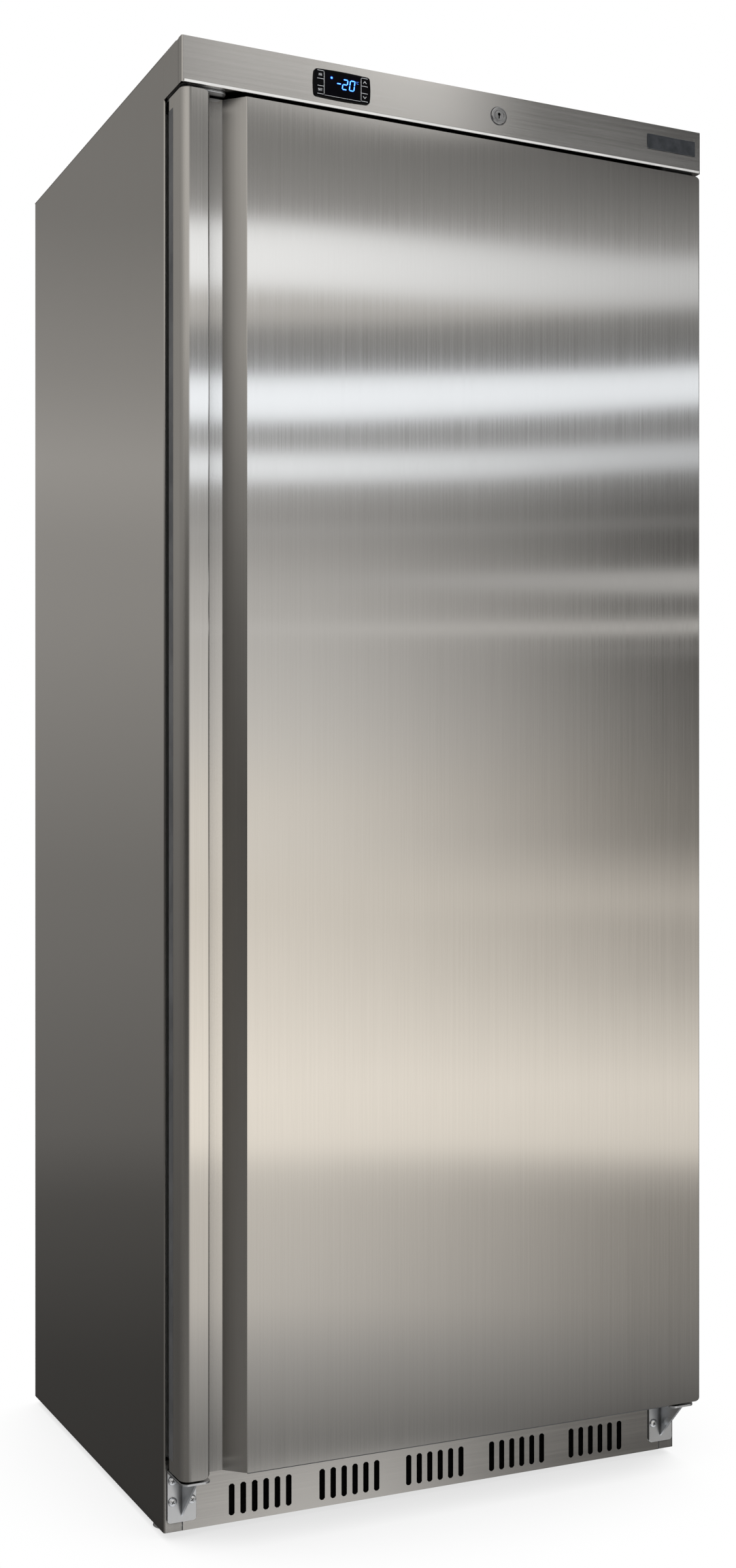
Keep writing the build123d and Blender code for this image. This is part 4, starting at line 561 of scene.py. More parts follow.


# Painted shade on the zinc: its reach of 11 mm darkens it around the screws and in the brackets'
# corners.
bright_zinc = coated("bright_zinc", (0.70, 0.72, 0.75), (0.76, 0.78, 0.80), 0.30, 1, 9, 500, 4,
                     (0.88, 0.88, 0.87), 0.6, reach=11)
# The lock's near-black edge colour is a painted dark reflection on the rounded rims of its housing
# and plug; its reach darkens the keyway as painted shade.
lock_chrome = coated("lock_chrome", (0.30, 0.30, 0.30), (0.48, 0.48, 0.48), 0.14, 1, 80, 500, 4,
                     (0.02, 0.02, 0.022), 0.8, reach=3.5)
finishes = {"door_steel": door_steel, "case_steel": side_steel, "galvanised": spangled_zinc(),
            "zinc": bright_zinc, "lock_chrome": lock_chrome}
COATS = [
    # name, darker and lighter tone, roughness, metallic, clouds and texture grains per metre,
    # depth of the texture; then, where it has them, edge colour and width, gloss and shine
    ("foam", (0.70, 0.60, 0.38), (0.80, 0.71, 0.48), 0.85, 0, 25, 260, 400),
    ("liner", (0.66, 0.67, 0.67), (0.69, 0.70, 0.70), 0.28, 0, 6, 1400, 10),
    ("strip", (0.62, 0.63, 0.63), (0.70, 0.71, 0.71), 0.42, 0, 10, 1200, 20),
    ("white_plastic", (0.60, 0.61, 0.61), (0.64, 0.64, 0.635), 0.38, 0, 8, 1100, 20,
     (0.90, 0.90, 0.90)),
    ("dark_plastic", (0.018, 0.018, 0.020), (0.035, 0.035, 0.038), 0.48, 0, 20, 1600, 30,
     (0.09, 0.09, 0.095)),
    ("bezel_plastic", (0.0015, 0.0015, 0.0018), (0.003, 0.003, 0.0034), 0.30, 0, 40, 2200, 6,
     (0.012, 0.012, 0.013), 0.4, None, 0.03),
    ("key_plastic", (0.0015, 0.0015, 0.0018), (0.003, 0.003, 0.0035), 0.42, 0, 60, 2600, 10,
     (0.014, 0.014, 0.015), 0.3, None, 0.04),
    ("display", (0.0012, 0.0012, 0.002), (0.002, 0.002, 0.0035), 0.12, 0, 30, 600, 1,
     None, 0, None, 0.02),
    ("black_enamel", (0.012, 0.012, 0.013), (0.026, 0.026, 0.027), 0.30, 0, 12, 240, 60,
     (0.16, 0.15, 0.14), 1.0, 0.4),
    ("white_enamel", (0.72, 0.73, 0.74), (0.82, 0.83, 0.84), 0.26, 0, 18, 400, 40,
     (0.90, 0.91, 0.92), 0.8, 0.4),
    ("copper", (0.62, 0.28, 0.16), (0.86, 0.46, 0.30), 0.28, 1, 26, 500, 20, (0.93, 0.60, 0.44)),
    ("rubber_black", (0.018, 0.018, 0.018), (0.035, 0.034, 0.033), 0.75, 0, 40, 1500, 50),
    ("gasket", (0.045, 0.046, 0.048), (0.075, 0.076, 0.078), 0.62, 0, 12, 900, 30),
    ("nylon", (0.10, 0.10, 0.105), (0.16, 0.16, 0.165), 0.50, 0, 20, 800, 30, (0.30, 0.30, 0.30)),
]
finishes.update((row[0], coated(*row)) for row in COATS)

BRUSHED_ACROSS = ("canopy_fascia", "plinth_grille", "header_panel", "top_panel")
for name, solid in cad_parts.items():
    for n, slot in enumerate(solid.data.materials):
        chosen = front_steel if name in BRUSHED_ACROSS else finishes[slot.name.split(".")[0]]
        solid.data.materials[n] = chosen
print("finishes:", len(finishes), "on", len(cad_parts), "solids")

# %% [markdown]
# ## Finished copies of small parts
#
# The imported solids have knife-sharp edges. On plastics and thick plates a real edge is broken a
# little, and the highlight on it is what makes the piece look made. A copy of the solid's mesh
# is merged, its flat triangles joined, and its sharp edges bevelled. The copy then stands for
# the solid. Face-weighted normals keep the flat faces flat beside the soft edges.

# %% A copy with broken edges
def closed(work, name):
    """A mesh from the work, its faces turned outwards."""
    bmesh.ops.recalc_face_normals(work, faces=work.faces)
    mesh = bpy.data.meshes.new(name)
    work.to_mesh(mesh)
    work.free()
    return mesh


def new_piece(name, made, slot, finish=None, body="cabinet", stands_for=()):
    """A piece of a mesh, or of work to be closed, that rides on a body and takes the record's
    material slot. It has that slot's finish, unless it is given one of its own."""
    mesh = closed(made, name) if isinstance(made, bmesh.types.BMesh) else made
    piece = linked(name, mesh)
    mesh.materials.clear()
    mesh.materials.append(finish or finishes[slot])
    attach(piece, body)
    if stands_for:
        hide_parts(*stands_for)
    return piece


def worked_mesh(thing):
    """The thing's mesh with all its modifiers worked in."""
    graph = bpy.context.evaluated_depsgraph_get()
    return bpy.data.meshes.new_from_object(thing.evaluated_get(graph), depsgraph=graph)


def shaded(mesh, corner=40.0):
    """Smooth shading, broken at edges sharper than the corner angle."""
    mesh.shade_smooth()
    mesh.set_sharp_from_angle(angle=math.radians(corner))
    return mesh


MERGE, FLAT, SHARP, FRONT_LAYER = 2 * MICRON, math.radians(0.4), 38.0, 0.3 * MM


def broken_edges(node_name, slot, width, set_back=0.0, body="cabinet"):
    """A merged copy of a solid with its sharp edges bevelled; it stands for the solid.

    Its front face can be set back a hair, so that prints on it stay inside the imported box."""
    name = node_name + "_finished"
    work = bmesh.new()
    work.from_mesh(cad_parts[node_name].data)
    bmesh.ops.remove_doubles(work, verts=work.verts, dist=MERGE)
    bmesh.ops.dissolve_limit(work, angle_limit=FLAT, verts=work.verts, edges=work.edges)
    front = min(v.co.y for v in work.verts) + FRONT_LAYER
    for v in work.verts:
        if v.co.y < front:
            v.co.y += set_back
    mesh = bpy.data.meshes.new(name)
    work.to_mesh(mesh)
    work.free()
    finish = front_steel if node_name in BRUSHED_ACROSS else None
    piece = new_piece(name, shaded(mesh, SHARP), slot, finish, body, (node_name,))
    bevel = piece.modifiers.new("broken_edge", "BEVEL")
    bevel.width, bevel.segments, bevel.limit_method = width, 2, "ANGLE"
    bevel.angle_limit = math.radians(SHARP)
    flat = piece.modifiers.new("flat_faces", "WEIGHTED_NORMAL")
    flat.keep_sharp, flat.weight = True, 80
    mesh = worked_mesh(piece)
    piece.modifiers.clear()
    piece.data = mesh
    print(f"{name}: {len(mesh.polygons)} faces")


PRINT_ROOM = 0.12 * MM
KEYS = ("key_menu", "key_set", "key_up", "key_down")
broken_edges("controller_bezel", "bezel_plastic", 0.5 * MM, PRINT_ROOM)
broken_edges("display_lens", "display", 0.15 * MM, PRINT_ROOM)
for key in KEYS:
    broken_edges(key, "key_plastic", 0.25 * MM, PRINT_ROOM, key)
for node_name, slot, width in (
    ("hinge_bracket_left", "zinc", 0.4), ("hinge_bracket_right", "zinc", 0.4),
    ("hinge_plates_top", "zinc", 0.4), ("canopy_fascia", "case_steel", 1.4),
    ("plinth_grille", "case_steel", 0.5), ("side_panel_left", "case_steel", 0.7),
    ("side_panel_right", "case_steel", 0.7), ("terminal_box", "dark_plastic", 1.2),
    ("lock_housing", "lock_chrome", 0.5),
):
    broken_edges(node_name, slot, width * MM)
broken_edges("lock_plug", "lock_chrome", 0.3 * MM, body="lock")
broken_edges("compressor_relay", "dark_plastic", 1.5 * MM)

# %% [markdown]
# ## What the controller shows
#
# Behind the dark window two figures glow, a minus before them, as on any shop freezer that holds
# its set point. Each figure is made of seven bars. A bar is a long hexagon, and a table says
# which bars each figure lights. The bars lie a hair in front of the window, as thin plates.

# %% Seven bars to a figure
BEZEL_LOW, BEZEL_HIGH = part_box("controller_bezel")
WINDOW_LOW, WINDOW_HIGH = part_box("display_lens")
PANEL_LEFT, PANEL_TOP = BEZEL_LOW.x, BEZEL_HIGH.z
MIDDLE_Z = PANEL_TOP - 16.1 * MM
SHOW_FRONT, SHOW_BACK = WINDOW_LOW.y + 0.03 * MM, WINDOW_LOW.y + 0.3 * MM
FIGURE_WIDE, FIGURE_HIGH, BAR = 7.6 * MM, 13.8 * MM, 1.15 * MM
SLANT, HALO = 0.13, 1.9  # the halo of a bar is so many times as thick as the bar
SIGNS = (("-", 31.0), ("2", 39.6), ("0", 49.6))  # each sign, its left edge from the panel's in mm
LIT = {"2": "top upper_right middle lower_left bottom",
       "0": "top upper_left upper_right lower_left lower_right bottom",
       "-": "middle"}
LONG, RISE = FIGURE_WIDE - 1.7 * BAR, (FIGURE_HIGH - BAR) / 4
TALL, ASIDE = FIGURE_HIGH / 2 - 1.0 * BAR, (FIGURE_WIDE - BAR) / 2
BARS = {  # each bar's place from the middle of its figure, its length, and whether it is upright
    "top": (0, 2 * RISE, LONG, False), "middle": (0, 0, LONG, False),
    "bottom": (0, -2 * RISE, LONG, False),
    "upper_left": (-ASIDE, RISE, TALL, True), "upper_right": (ASIDE, RISE, TALL, True),
    "lower_left": (-ASIDE, -RISE, TALL, True), "lower_right": (ASIDE, -RISE, TALL, True),
}
DOT_X, DOT_Z = PANEL_LEFT + 24.4 * MM, PANEL_TOP - 10.2 * MM


def skin(work, rings, around=False):
    """Faces from ring to ring of points, either closed by two caps or going on around."""
    rings = [[work.verts.new(point) for point in ring] for ring in rings]
    if around:
        rings.append(rings[0])
    else:
        work.faces.new(rings[0])
        work.faces.new(reversed(rings[-1]))
    for near, far in zip(rings, rings[1:]):
        for n in range(len(near)):
            m = (n + 1) % len(near)
            work.faces.new((near[n], far[n], far[m], near[m]))


def plate(work, outline, front, back):
    """A thin plate on the panel: its outline in x and z, closed, between two depths."""
    skin(work, [[(x, y, z) for x, z in outline] for y in (front, back)])


def circle(x, z, radius, sides):
    """The corners of a circle on the front."""
    turns = [math.tau * n / sides for n in range(sides)]
    return [(x + radius * math.cos(a), z + radius * math.sin(a)) for a in turns]


def bar(work, x, z, long, upright, front, back, swell):
    """One bar of a figure, pointed at both ends; its halo is a swollen copy of it."""
    half, thick = long / 2 + (swell - 1) * BAR / 2, swell * BAR / 2
    shape = [(-half, 0), (-half + thick, thick), (half - thick, thick), (half, 0),
             (half - thick, -thick), (-half + thick, -thick)]
    if upright:
        shape = [(b, a) for a, b in reversed(shape)]
    plate(work, [(x + a + SLANT * (z + b), MIDDLE_Z + z + b) for a, b in shape], front, back)


def glowing(name, colour, strength):
    """Light behind a tinted window, with a faint shimmer of tone."""
    finish, tree, shader, place = new_finish(name)
    shimmer = between(tree, noise(tree, place, 900.0, 1.0), 0.3, 0.7)
    brighter = (*(min(1, c * 1.25) for c in colour), 1)
    fill(tree, shader, {
        "Emission Color": blend(tree, shimmer, (*colour, 1), brighter),
        "Emission Strength": strength, "Base Color": (0.002, 0.004, 0.02, 1), "Roughness": 0.4})
    return finish


def shown_signs(name, front, swell, dot, finish):
    """The three signs and the lamp's dot as one piece."""
    work = bmesh.new()
    for sign, left in SIGNS:
        middle = PANEL_LEFT + left * MM + FIGURE_WIDE / 2
        for lit in LIT[sign].split():
            x, z, long, upright = BARS[lit]
            bar(work, middle + x, z, long, upright, front, SHOW_BACK, swell)
    plate(work, circle(DOT_X, DOT_Z, dot * MM, 20), front, SHOW_BACK)
    new_piece(name, work, "display", finish)


shown_signs("display_figures", SHOW_FRONT, 1.0, 1.25, glowing("blue_light", (0.10, 0.42, 1.0), 2.4))
# The halo is a painted glow: a dimmer, swollen copy of the bars that stands for their light
# spreading in the window.
halo_light = glowing("blue_halo", (0.0, 0.035, 0.75), 0.8)
shown_signs("display_halo", SHOW_FRONT + 0.04 * MM, HALO, 2.0, halo_light)
print("signs shown:", " ".join(sign for sign, _ in SIGNS))

# %% [markdown]
# ## Marks on the controller
#
# Pale printed lines frame the keys, and each key carries a small sign: arrowheads on the right,
# a word and a small symbol on the left. They are thin flat strips laid along a few corners.
# The unit sign beside the figures and the word on the key are text turned into mesh.

# %% Printed marks
KEY_BOX = {name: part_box(name) for name in KEYS}
PRINT_DEEP = 0.2 * MM
LINE, LINE_OFF, ROUND = 0.45 * MM, 0.35 * MM, 1.2 * MM  # the frames' lines and round corners
WAVES = [[(along, lift + dip) for along, dip in zip((-2.2, -1.1, 0, 1.1, 2.2), (-0.25, 0.25) * 3)]
         for lift in (-1.0, 0.0, 1.0)]
KEY_SIGNS = {  # lines in mm from the middle of the key, and their width
    "key_up": ([[(-2.1, -1.3), (0, 1.3), (2.1, -1.3)]], 0.65),
    "key_down": ([[(-2.1, 1.3), (0, -1.3), (2.1, 1.3)]], 0.65),
    "key_menu": (WAVES, 0.4),
    "key_set": None,  # it has a word
}


def strip(work, points, width, front, back):
    """A flat printed line along the points, each stretch a short plate."""
    half = width / 2
    for (x0, z0), (x1, z1) in zip(points, points[1:]):
        long = math.hypot(x1 - x0, z1 - z0)
        ux, uz = half * (x1 - x0) / long, half * (z1 - z0) / long
        # the ends reach a little past the points, so that stretches meet in a full corner
        x0, z0, x1, z1 = x0 - ux * 0.6, z0 - uz * 0.6, x1 + ux * 0.6, z1 + uz * 0.6
        plate(work, [(x0 - uz, z0 + ux), (x1 - uz, z1 + ux), (x1 + uz, z1 - ux),
                     (x0 + uz, z0 - ux)], front, back)


def lettering(text, size, x, z, front, back):
    """Small raised text on the front, as a mesh with its place in its points."""
    data = bpy.data.curves.new("text", "FONT")
    data.body, data.size, data.extrude = text, size, (back - front) / 2
    data.align_x, data.align_y = "CENTER", "CENTER"
    data.resolution_u = 3
    words = linked("text", data)
    bpy.context.view_layer.update()
    mesh = worked_mesh(words)
    bpy.data.objects.remove(words)
    stand_up = Matrix.Rotation(math.pi / 2, 4, "X")
    mesh.transform(Matrix.Translation((x, (front + back) / 2, z)) @ stand_up)
    return mesh


inner_left = KEY_BOX["key_menu"][1].x + LINE_OFF
inner_right = KEY_BOX["key_up"][0].x - LINE_OFF
low_z, high_z = KEY_BOX["key_set"][0].z - LINE_OFF, KEY_BOX["key_menu"][1].z + LINE_OFF
mark_front, mark_back = BEZEL_LOW.y + 0.005 * MM, BEZEL_LOW.y + 0.25 * MM
work = bmesh.new()
for side, edge, outer in ((1, inner_left, KEY_BOX["key_menu"][0].x),
                          (-1, inner_right, KEY_BOX["key_up"][1].x)):
    outer += side * 1.0 * MM
    corner = [(edge - side * ROUND * (1 - math.sin(a)), ROUND * (1 - math.cos(a)))
              for a in (0, 0.4, 0.8, 1.2, math.pi / 2)]
    frame_line = [(outer, high_z)] + [(x, high_z - down) for x, down in corner]
    frame_line += [(x, low_z + down) for x, down in reversed(corner)] + [(outer, low_z)]
    strip(work, frame_line, LINE, mark_front, mark_back)
    for z in (KEY_BOX["key_set"][1].z + 0.4 * MM, KEY_BOX["key_menu"][0].z - 0.4 * MM):
        strip(work, [(outer, z), (edge, z)], LINE, mark_front, mark_back)
rule_z = BEZEL_LOW.z + 2.6 * MM
strip(work, [(inner_left + 0.8 * MM, rule_z), (inner_right - 0.8 * MM, rule_z)],
      0.3 * MM, mark_front, mark_back)
pale_print = coated("pale_print", (0.42, 0.43, 0.45), (0.55, 0.56, 0.58), 0.5, 0, 300, 2000, 5)
new_piece("key_frames", work, "bezel_plastic", pale_print)

for key, sign in KEY_SIGNS.items():
    low, high = KEY_BOX[key]
    x, z, front = (low.x + high.x) / 2, (low.z + high.z) / 2, low.y + 0.005 * MM
    if sign:
        made = bmesh.new()
        for line in sign[0]:
            points = [(x + a * MM, z + b * MM) for a, b in line]
            strip(made, points, sign[1] * MM, front, front + PRINT_DEEP)
    else:
        made = lettering("SET", 4.0 * MM, x, z, front, front + PRINT_DEEP)
    new_piece(key + "_sign", made, "key_plastic", pale_print, key)

degree = lettering("°C", 4.6 * MM, PANEL_LEFT + 60.2 * MM, MIDDLE_Z + 4.9 * MM,
                   SHOW_FRONT, SHOW_BACK)
dim_light = glowing("dim_blue_light", (0.05, 0.20, 0.9), 1.3)
new_piece("display_unit", degree, "display", dim_light)
print("marks on", len(KEY_SIGNS), "keys")

# %% [markdown]
# ## The shaded gap behind the door's edge
#
# The gap between the door's side and the case lies in deep shade, so thin dark strips of painted
# shade line the rear rim of the door's side and read as one dark band with the gap. Four thin
# strips make it: one on each side, one on top and one below, each clear of the corners. A fifth
# lies under the door's front edge and draws, as painted shade, the dark line between the door and
# the plinth.

# %% Painted shade strips of the door
DOOR_LOW, DOOR_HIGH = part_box("door_skin")
STRIP_THICK, STRIP_DEEP, CORNER_CLEAR, LEVEL_HALF = 0.4 * MM, 15 * MM, 16 * MM, 300 * MM
# The strip under the door: how far it lies behind the face, its section and its right end.
FOOT_IN, FOOT_DEEP, FOOT_THICK, FOOT_RIGHT = 1.0 * MM, 5 * MM, 1.5 * MM, 335 * MM


def block(work, low, high):
    """A plain box between two corners."""
    cube = bmesh.ops.create_cube(work, size=1.0)["verts"]
    middle, size = [(a + b) / 2 for a, b in zip(low, high)], [b - a for a, b in zip(low, high)]
    for v in cube:
        v.co = Vector([m + c * s for m, c, s in zip(middle, v.co, size)])


work = bmesh.new()
rear, fore, face = DOOR_HIGH.y, DOOR_HIGH.y - STRIP_DEEP, DOOR_LOW.y + FOOT_IN
for x in (DOOR_LOW.x - STRIP_THICK, DOOR_HIGH.x):
    block(work, (x, fore, DOOR_LOW.z + CORNER_CLEAR),
          (x + STRIP_THICK, rear, DOOR_HIGH.z - CORNER_CLEAR))
for z in (DOOR_LOW.z - STRIP_THICK, DOOR_HIGH.z):
    block(work, (-LEVEL_HALF, fore, z), (LEVEL_HALF, rear, z + STRIP_THICK))
block(work, (-LEVEL_HALF, face, DOOR_LOW.z - FOOT_THICK),
      (FOOT_RIGHT, face + FOOT_DEEP, DOOR_LOW.z))
# Painted shade: dark strips where the gap behind the door and the line under its edge lie in shade.
new_piece("door_edge_strips", work, "gasket", body="door")
print("door box", [round(v / MM, 1) for v in (*DOOR_LOW, *DOOR_HIGH)])

# %% [markdown]
# ## Seams and slots of the plinth
#
# At each end the plinth meets the folded rim of the case in a fine dark joint. Behind its slots
# lies deep shade, so a black sheet of painted shade hangs there, close behind the grille.

# %% Joint lines and painted shade behind the slots
GRILLE_LOW, GRILLE_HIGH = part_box("plinth_grille")
JOINT = 0.9 * MM
SHADE_SHEET_IN, SHADE_SHEET_HIGH = 4 * MM, 62 * MM
work = bmesh.new()
for x in (GRILLE_LOW.x, GRILLE_HIGH.x - JOINT):
    block(work, (x, GRILLE_LOW.y - 0.08 * MM, GRILLE_LOW.z + 0.5 * MM),
          (x + JOINT, GRILLE_LOW.y + 0.4 * MM, GRILLE_HIGH.z))
new_piece("plinth_joints", work, "gasket")
# Painted shade: a near-black sheet behind the slots, where only shade is.
slot_shade = coated("filter_cloth", (0.001, 0.001, 0.001), (0.003, 0.003, 0.003), 0.9, 0, 300, 900, 200,
               shine=0.02)
work = bmesh.new()
block(work, (GRILLE_LOW.x + SHADE_SHEET_IN, GRILLE_LOW.y + 5 * MM, GRILLE_LOW.z + 2 * MM),
      (GRILLE_HIGH.x - SHADE_SHEET_IN, GRILLE_LOW.y + 6 * MM, GRILLE_LOW.z + SHADE_SHEET_HIGH))
new_piece("filter_cloth", work, "gasket", slot_shade)
print("plinth from", round(GRILLE_LOW.x / MM, 1), "to", round(GRILLE_HIGH.x / MM, 1))

# %% [markdown]
# ## A bare plate on the canopy
#
# Near the right end of the canopy sits a small dark plate with a fine bright rim, left bare
# here. A shallow dish with a raised rim catches light along its border as the real one does.

# %% Bare plate
PLATE_LEFT, PLATE_RIGHT = cad_box[0].x + 687 * MM, cad_box[0].x + 767 * MM
PLATE_LOW, PLATE_HIGH = 1859.5 * MM, 1880.5 * MM
CANOPY_LOW, CANOPY_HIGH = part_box("canopy_fascia")
CANOPY_FACE = CANOPY_LOW.y
RIM = [(0.0, 0.0), (0.0, -0.75), (0.25, -0.95), (0.7, -0.95), (0.95, -0.6)]  # inwards, proud in mm

work = bmesh.new()
skin(work, [[(x, CANOPY_FACE + proud * MM, z) for x, z in (
    (PLATE_LEFT + i, PLATE_LOW + i), (PLATE_RIGHT - i, PLATE_LOW + i),
    (PLATE_RIGHT - i, PLATE_HIGH - i), (PLATE_LEFT + i, PLATE_HIGH - i))]
    for i, proud in ((inwards * MM, proud) for inwards, proud in RIM)])
plate_finish = coated("plate_finish", (0.020, 0.022, 0.024), (0.034, 0.036, 0.040), 0.34, 0,
                      50, 1200, 10, (0.55, 0.55, 0.54), 0.6, shine=0.05)
new_piece("bare_plate", work, "bezel_plastic", plate_finish)

# %% [markdown]
# ## A ring of painted shade under the lock
#
# A thin dark ring of painted shade lies under the lock's housing, where its rounded side is in
# shade, and outlines it on the bright steel.

# %% The lock's ring of painted shade
HOUSING_LOW, HOUSING_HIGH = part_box("lock_housing")
LOCK_X, LOCK_Z = (HOUSING_LOW.x + HOUSING_HIGH.x) / 2, (HOUSING_LOW.z + HOUSING_HIGH.z) / 2
HOUSING_RADIUS = (HOUSING_HIGH.x - HOUSING_LOW.x) / 2
SHADE_RING_SIDES = 48
SHADE_RING = [(-2.5, 0.0), (1.0, 0.0), (0.8, -0.5), (-2.5, -0.5)]  # mm past the housing's rim, y
# Painted shade: a dark ring where the housing's rounded side is in shade.
work = bmesh.new()
circles = [circle(LOCK_X, LOCK_Z, HOUSING_RADIUS + past * MM, SHADE_RING_SIDES) for past, _ in SHADE_RING]
skin(work, [[(x, CANOPY_FACE + y * MM, z) for (x, z), (_, y) in zip(corner, SHADE_RING)]
            for corner in zip(*circles)], around=True)
new_piece("lock_washer", shaded(closed(work, "lock_washer")), "dark_plastic")
print("lock housing", round(HOUSING_RADIUS / MM, 2), "front",
      round((HOUSING_LOW.y - CANOPY_FACE) / MM, 2))

# %% [markdown]
# ## The drip fold under the canopy
#
# The canopy's sheet is folded over along its lower edge. The fold stands a little proud, and its
# slope looks down at the pale ground; its steel is also painted far paler than the case's, a
# painted highlight, so the eye sees one thin bright line along the whole front.

# %% Drip fold
# its section in mm: y from the canopy's face, z from its lower edge
FOLD = [(0.0, 0.1), (-0.5, 0.25), (-1.9, 2.4), (-1.8, 2.9), (-1.2, 3.3), (0.0, 3.5)]
FOLD_SHORT = 3.2 * MM
work = bmesh.new()
skin(work, [[(x, CANOPY_FACE + y * MM, CANOPY_LOW.z + z * MM) for y, z in FOLD]
            for x in (CANOPY_LOW.x + FOLD_SHORT, CANOPY_HIGH.x - FOLD_SHORT)])
# Painted highlight: the fold's steel is far paler than the case's, so it shows as a bright line.
fold_highlight = coated("fold_highlight_steel", (0.92, 0.91, 0.89), (0.97, 0.96, 0.94), 0.20, 1, 30, 800, 4)
new_piece("canopy_drip_fold", work, "case_steel", fold_highlight)

# %% [markdown]
# ## Screws in the hinge brackets
#
# Eight pan-head screws hold the two brackets. They repeat, so Geometry Nodes place them: one
# head with a crossed recess is modelled once and set on eight points. The tree's inputs are its
# sizes, so another screw needs no new mesh.

# %% Cross-head screws
HEAD_SIDES, HEAD_WIDE, HEAD_THICK, HEAD_BACK = 24, 11 * MM, 3.1 * MM, -280.75 * MM
HEAD_RINGS = [  # radius and height as shares of the head's, and how round the ring is
    (1.0, 0.0, 1), (1.0, 0.45, 1), (0.86, 0.80, 1), (0.62, 0.95, 1), (0.60, 0.95, 0.35),
    (0.34, 0.55, 0.30),
]
LEFT_LOW, LEFT_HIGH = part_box("hinge_bracket_left")
SCREW_X, SCREW_LEVELS = 13 * MM, (50 * MM, 77 * MM)
BRACKET_MIDDLE = (LEFT_LOW.x + LEFT_HIGH.x) / 2


def geometry_tree(name, inputs):
    """An empty geometry tree with a mesh in and out and named inputs."""
    return new_group(
        name, "Geometry", [("Geometry", "Geometry", None), *inputs], [("Geometry", "Geometry")])


def grown(name, start_mesh, group, ids, values, slot, stands_for):
    """Runs a geometry tree on a mesh and keeps the result as a plain piece of the cabinet."""
    seed = linked(name, start_mesh)
    grow = seed.modifiers.new("grow", "NODES")
    grow.node_group = group
    for label, value in {**values, "Finish": finishes[slot]}.items():
        grow[ids[label]] = value
    mesh = worked_mesh(seed)
    bpy.data.objects.remove(seed)
    return new_piece(name, mesh, slot, stands_for=(stands_for,))


def finish_tree(group, out, geometry, finish):
    """Realize the copies and give them their finish, as the last two steps of every tree."""
    real = put(group, "GeometryNodeRealizeInstances", {"Geometry": geometry})[0]
    fill(group, out, {
        0: put(group, "GeometryNodeSetMaterial", {"Geometry": real, "Material": finish})[0]})


def screw_head():
    """A pan head that faces -Y, domed in rings, with a crossed recess cut by its points."""
    turns = [math.tau * n / HEAD_SIDES for n in range(HEAD_SIDES)]
    rings = []
    for radius, rise, roundness in HEAD_RINGS:
        reach = [radius * HEAD_WIDE / 2 * (roundness + (1 - roundness) * math.cos(2 * a) ** 6)
                 for a in turns]
        rings.append([(r * math.cos(a), -rise * HEAD_THICK, r * math.sin(a))
                      for r, a in zip(reach, turns)])
    work = bmesh.new()
    skin(work, rings)
    return shaded(closed(work, "screw_head"), 35.0)


def screw_tree():
    group, given, out, ids = geometry_tree("screws_on_points", [
        ("Head", "Object", None), ("Scale", "Float", 1.0), ("Turn spread", "Float", 3.1),
        ("Seed", "Int", 4), ("Finish", "Material", None)])
    head = put(group, "GeometryNodeObjectInfo", {"Object": given["Head"]})["Geometry"]
    points = put(group, "GeometryNodeMeshToPoints", {"Mesh": given["Geometry"]})[0]
    turn = put(group, "FunctionNodeRandomValue", {
        "Max": given["Turn spread"], "Seed": given["Seed"]}, data_type="FLOAT")
    turned = put(group, "CombineXYZ", {"Y": [o for o in turn if o.enabled][0]})
    placed = put(group, "GeometryNodeInstanceOnPoints", {
        "Points": points, "Instance": head,
        "Rotation": put(group, "FunctionNodeEulerToRotation", {0: turned[0]})[0],
        "Scale": put(group, "CombineXYZ", dict.fromkeys("XYZ", given["Scale"]))[0]})
    finish_tree(group, out, placed[0], given["Finish"])
    return group, ids


places = bpy.data.meshes.new("screw_places")
places.from_pydata([(side * BRACKET_MIDDLE + s * SCREW_X, HEAD_BACK, z)
                    for side in (1, -1) for s in (-1, 1) for z in SCREW_LEVELS], [], [])
head_object = linked("screw_head", screw_head())
screws = grown("bracket_screws", places, *screw_tree(), {"Head": head_object, "Scale": 1.0},
               "zinc", "hinge_screws")
bpy.data.objects.remove(head_object)
print("bracket_screws:", len(screws.data.polygons), "faces; box",
      [round(v / MM, 1) for v in screws.bound_box[0]])

# %% [markdown]
# ## Wires on a wound tube
#
# Two things in a freezer are made alike: its shelves, which are themselves the evaporator, and
# the condenser on its back. Each is one tube wound to and fro with straight wires welded across
# it. One tree of nodes makes both: it turns a path into a tube, sets wires on a line of points
# and repeats the whole at every level. Only the numbers differ.

# %% Shelves and condenser
TURN_STEPS, TUBE_SIDES, WIRE_SIDES = 10, 12, 8


def winding(runs, pitch, length, tail):
    """The middle line of a flat winding tube: its runs lie along x, side by side in y."""
    points, first = [], -pitch * (runs - 1) / 2
    for n in range(runs):
        y, side = first + n * pitch, 1 if n % 2 == 0 else -1
        points.append((-side * (length / 2 + (tail if n == 0 else 0)), y, 0))
        points.append((side * (length / 2 + (tail if n == runs - 1 else 0)), y, 0))
        if n < runs - 1:
            turns = [math.pi * k / TURN_STEPS for k in range(1, TURN_STEPS)]
            points += [(side * (length + pitch * math.sin(a)) / 2,
                        y + pitch * (1 - math.cos(a)) / 2, 0) for a in turns]
    mesh = bpy.data.meshes.new("winding")
    mesh.from_pydata(points, [(n, n + 1) for n in range(len(points) - 1)], [])
    return mesh


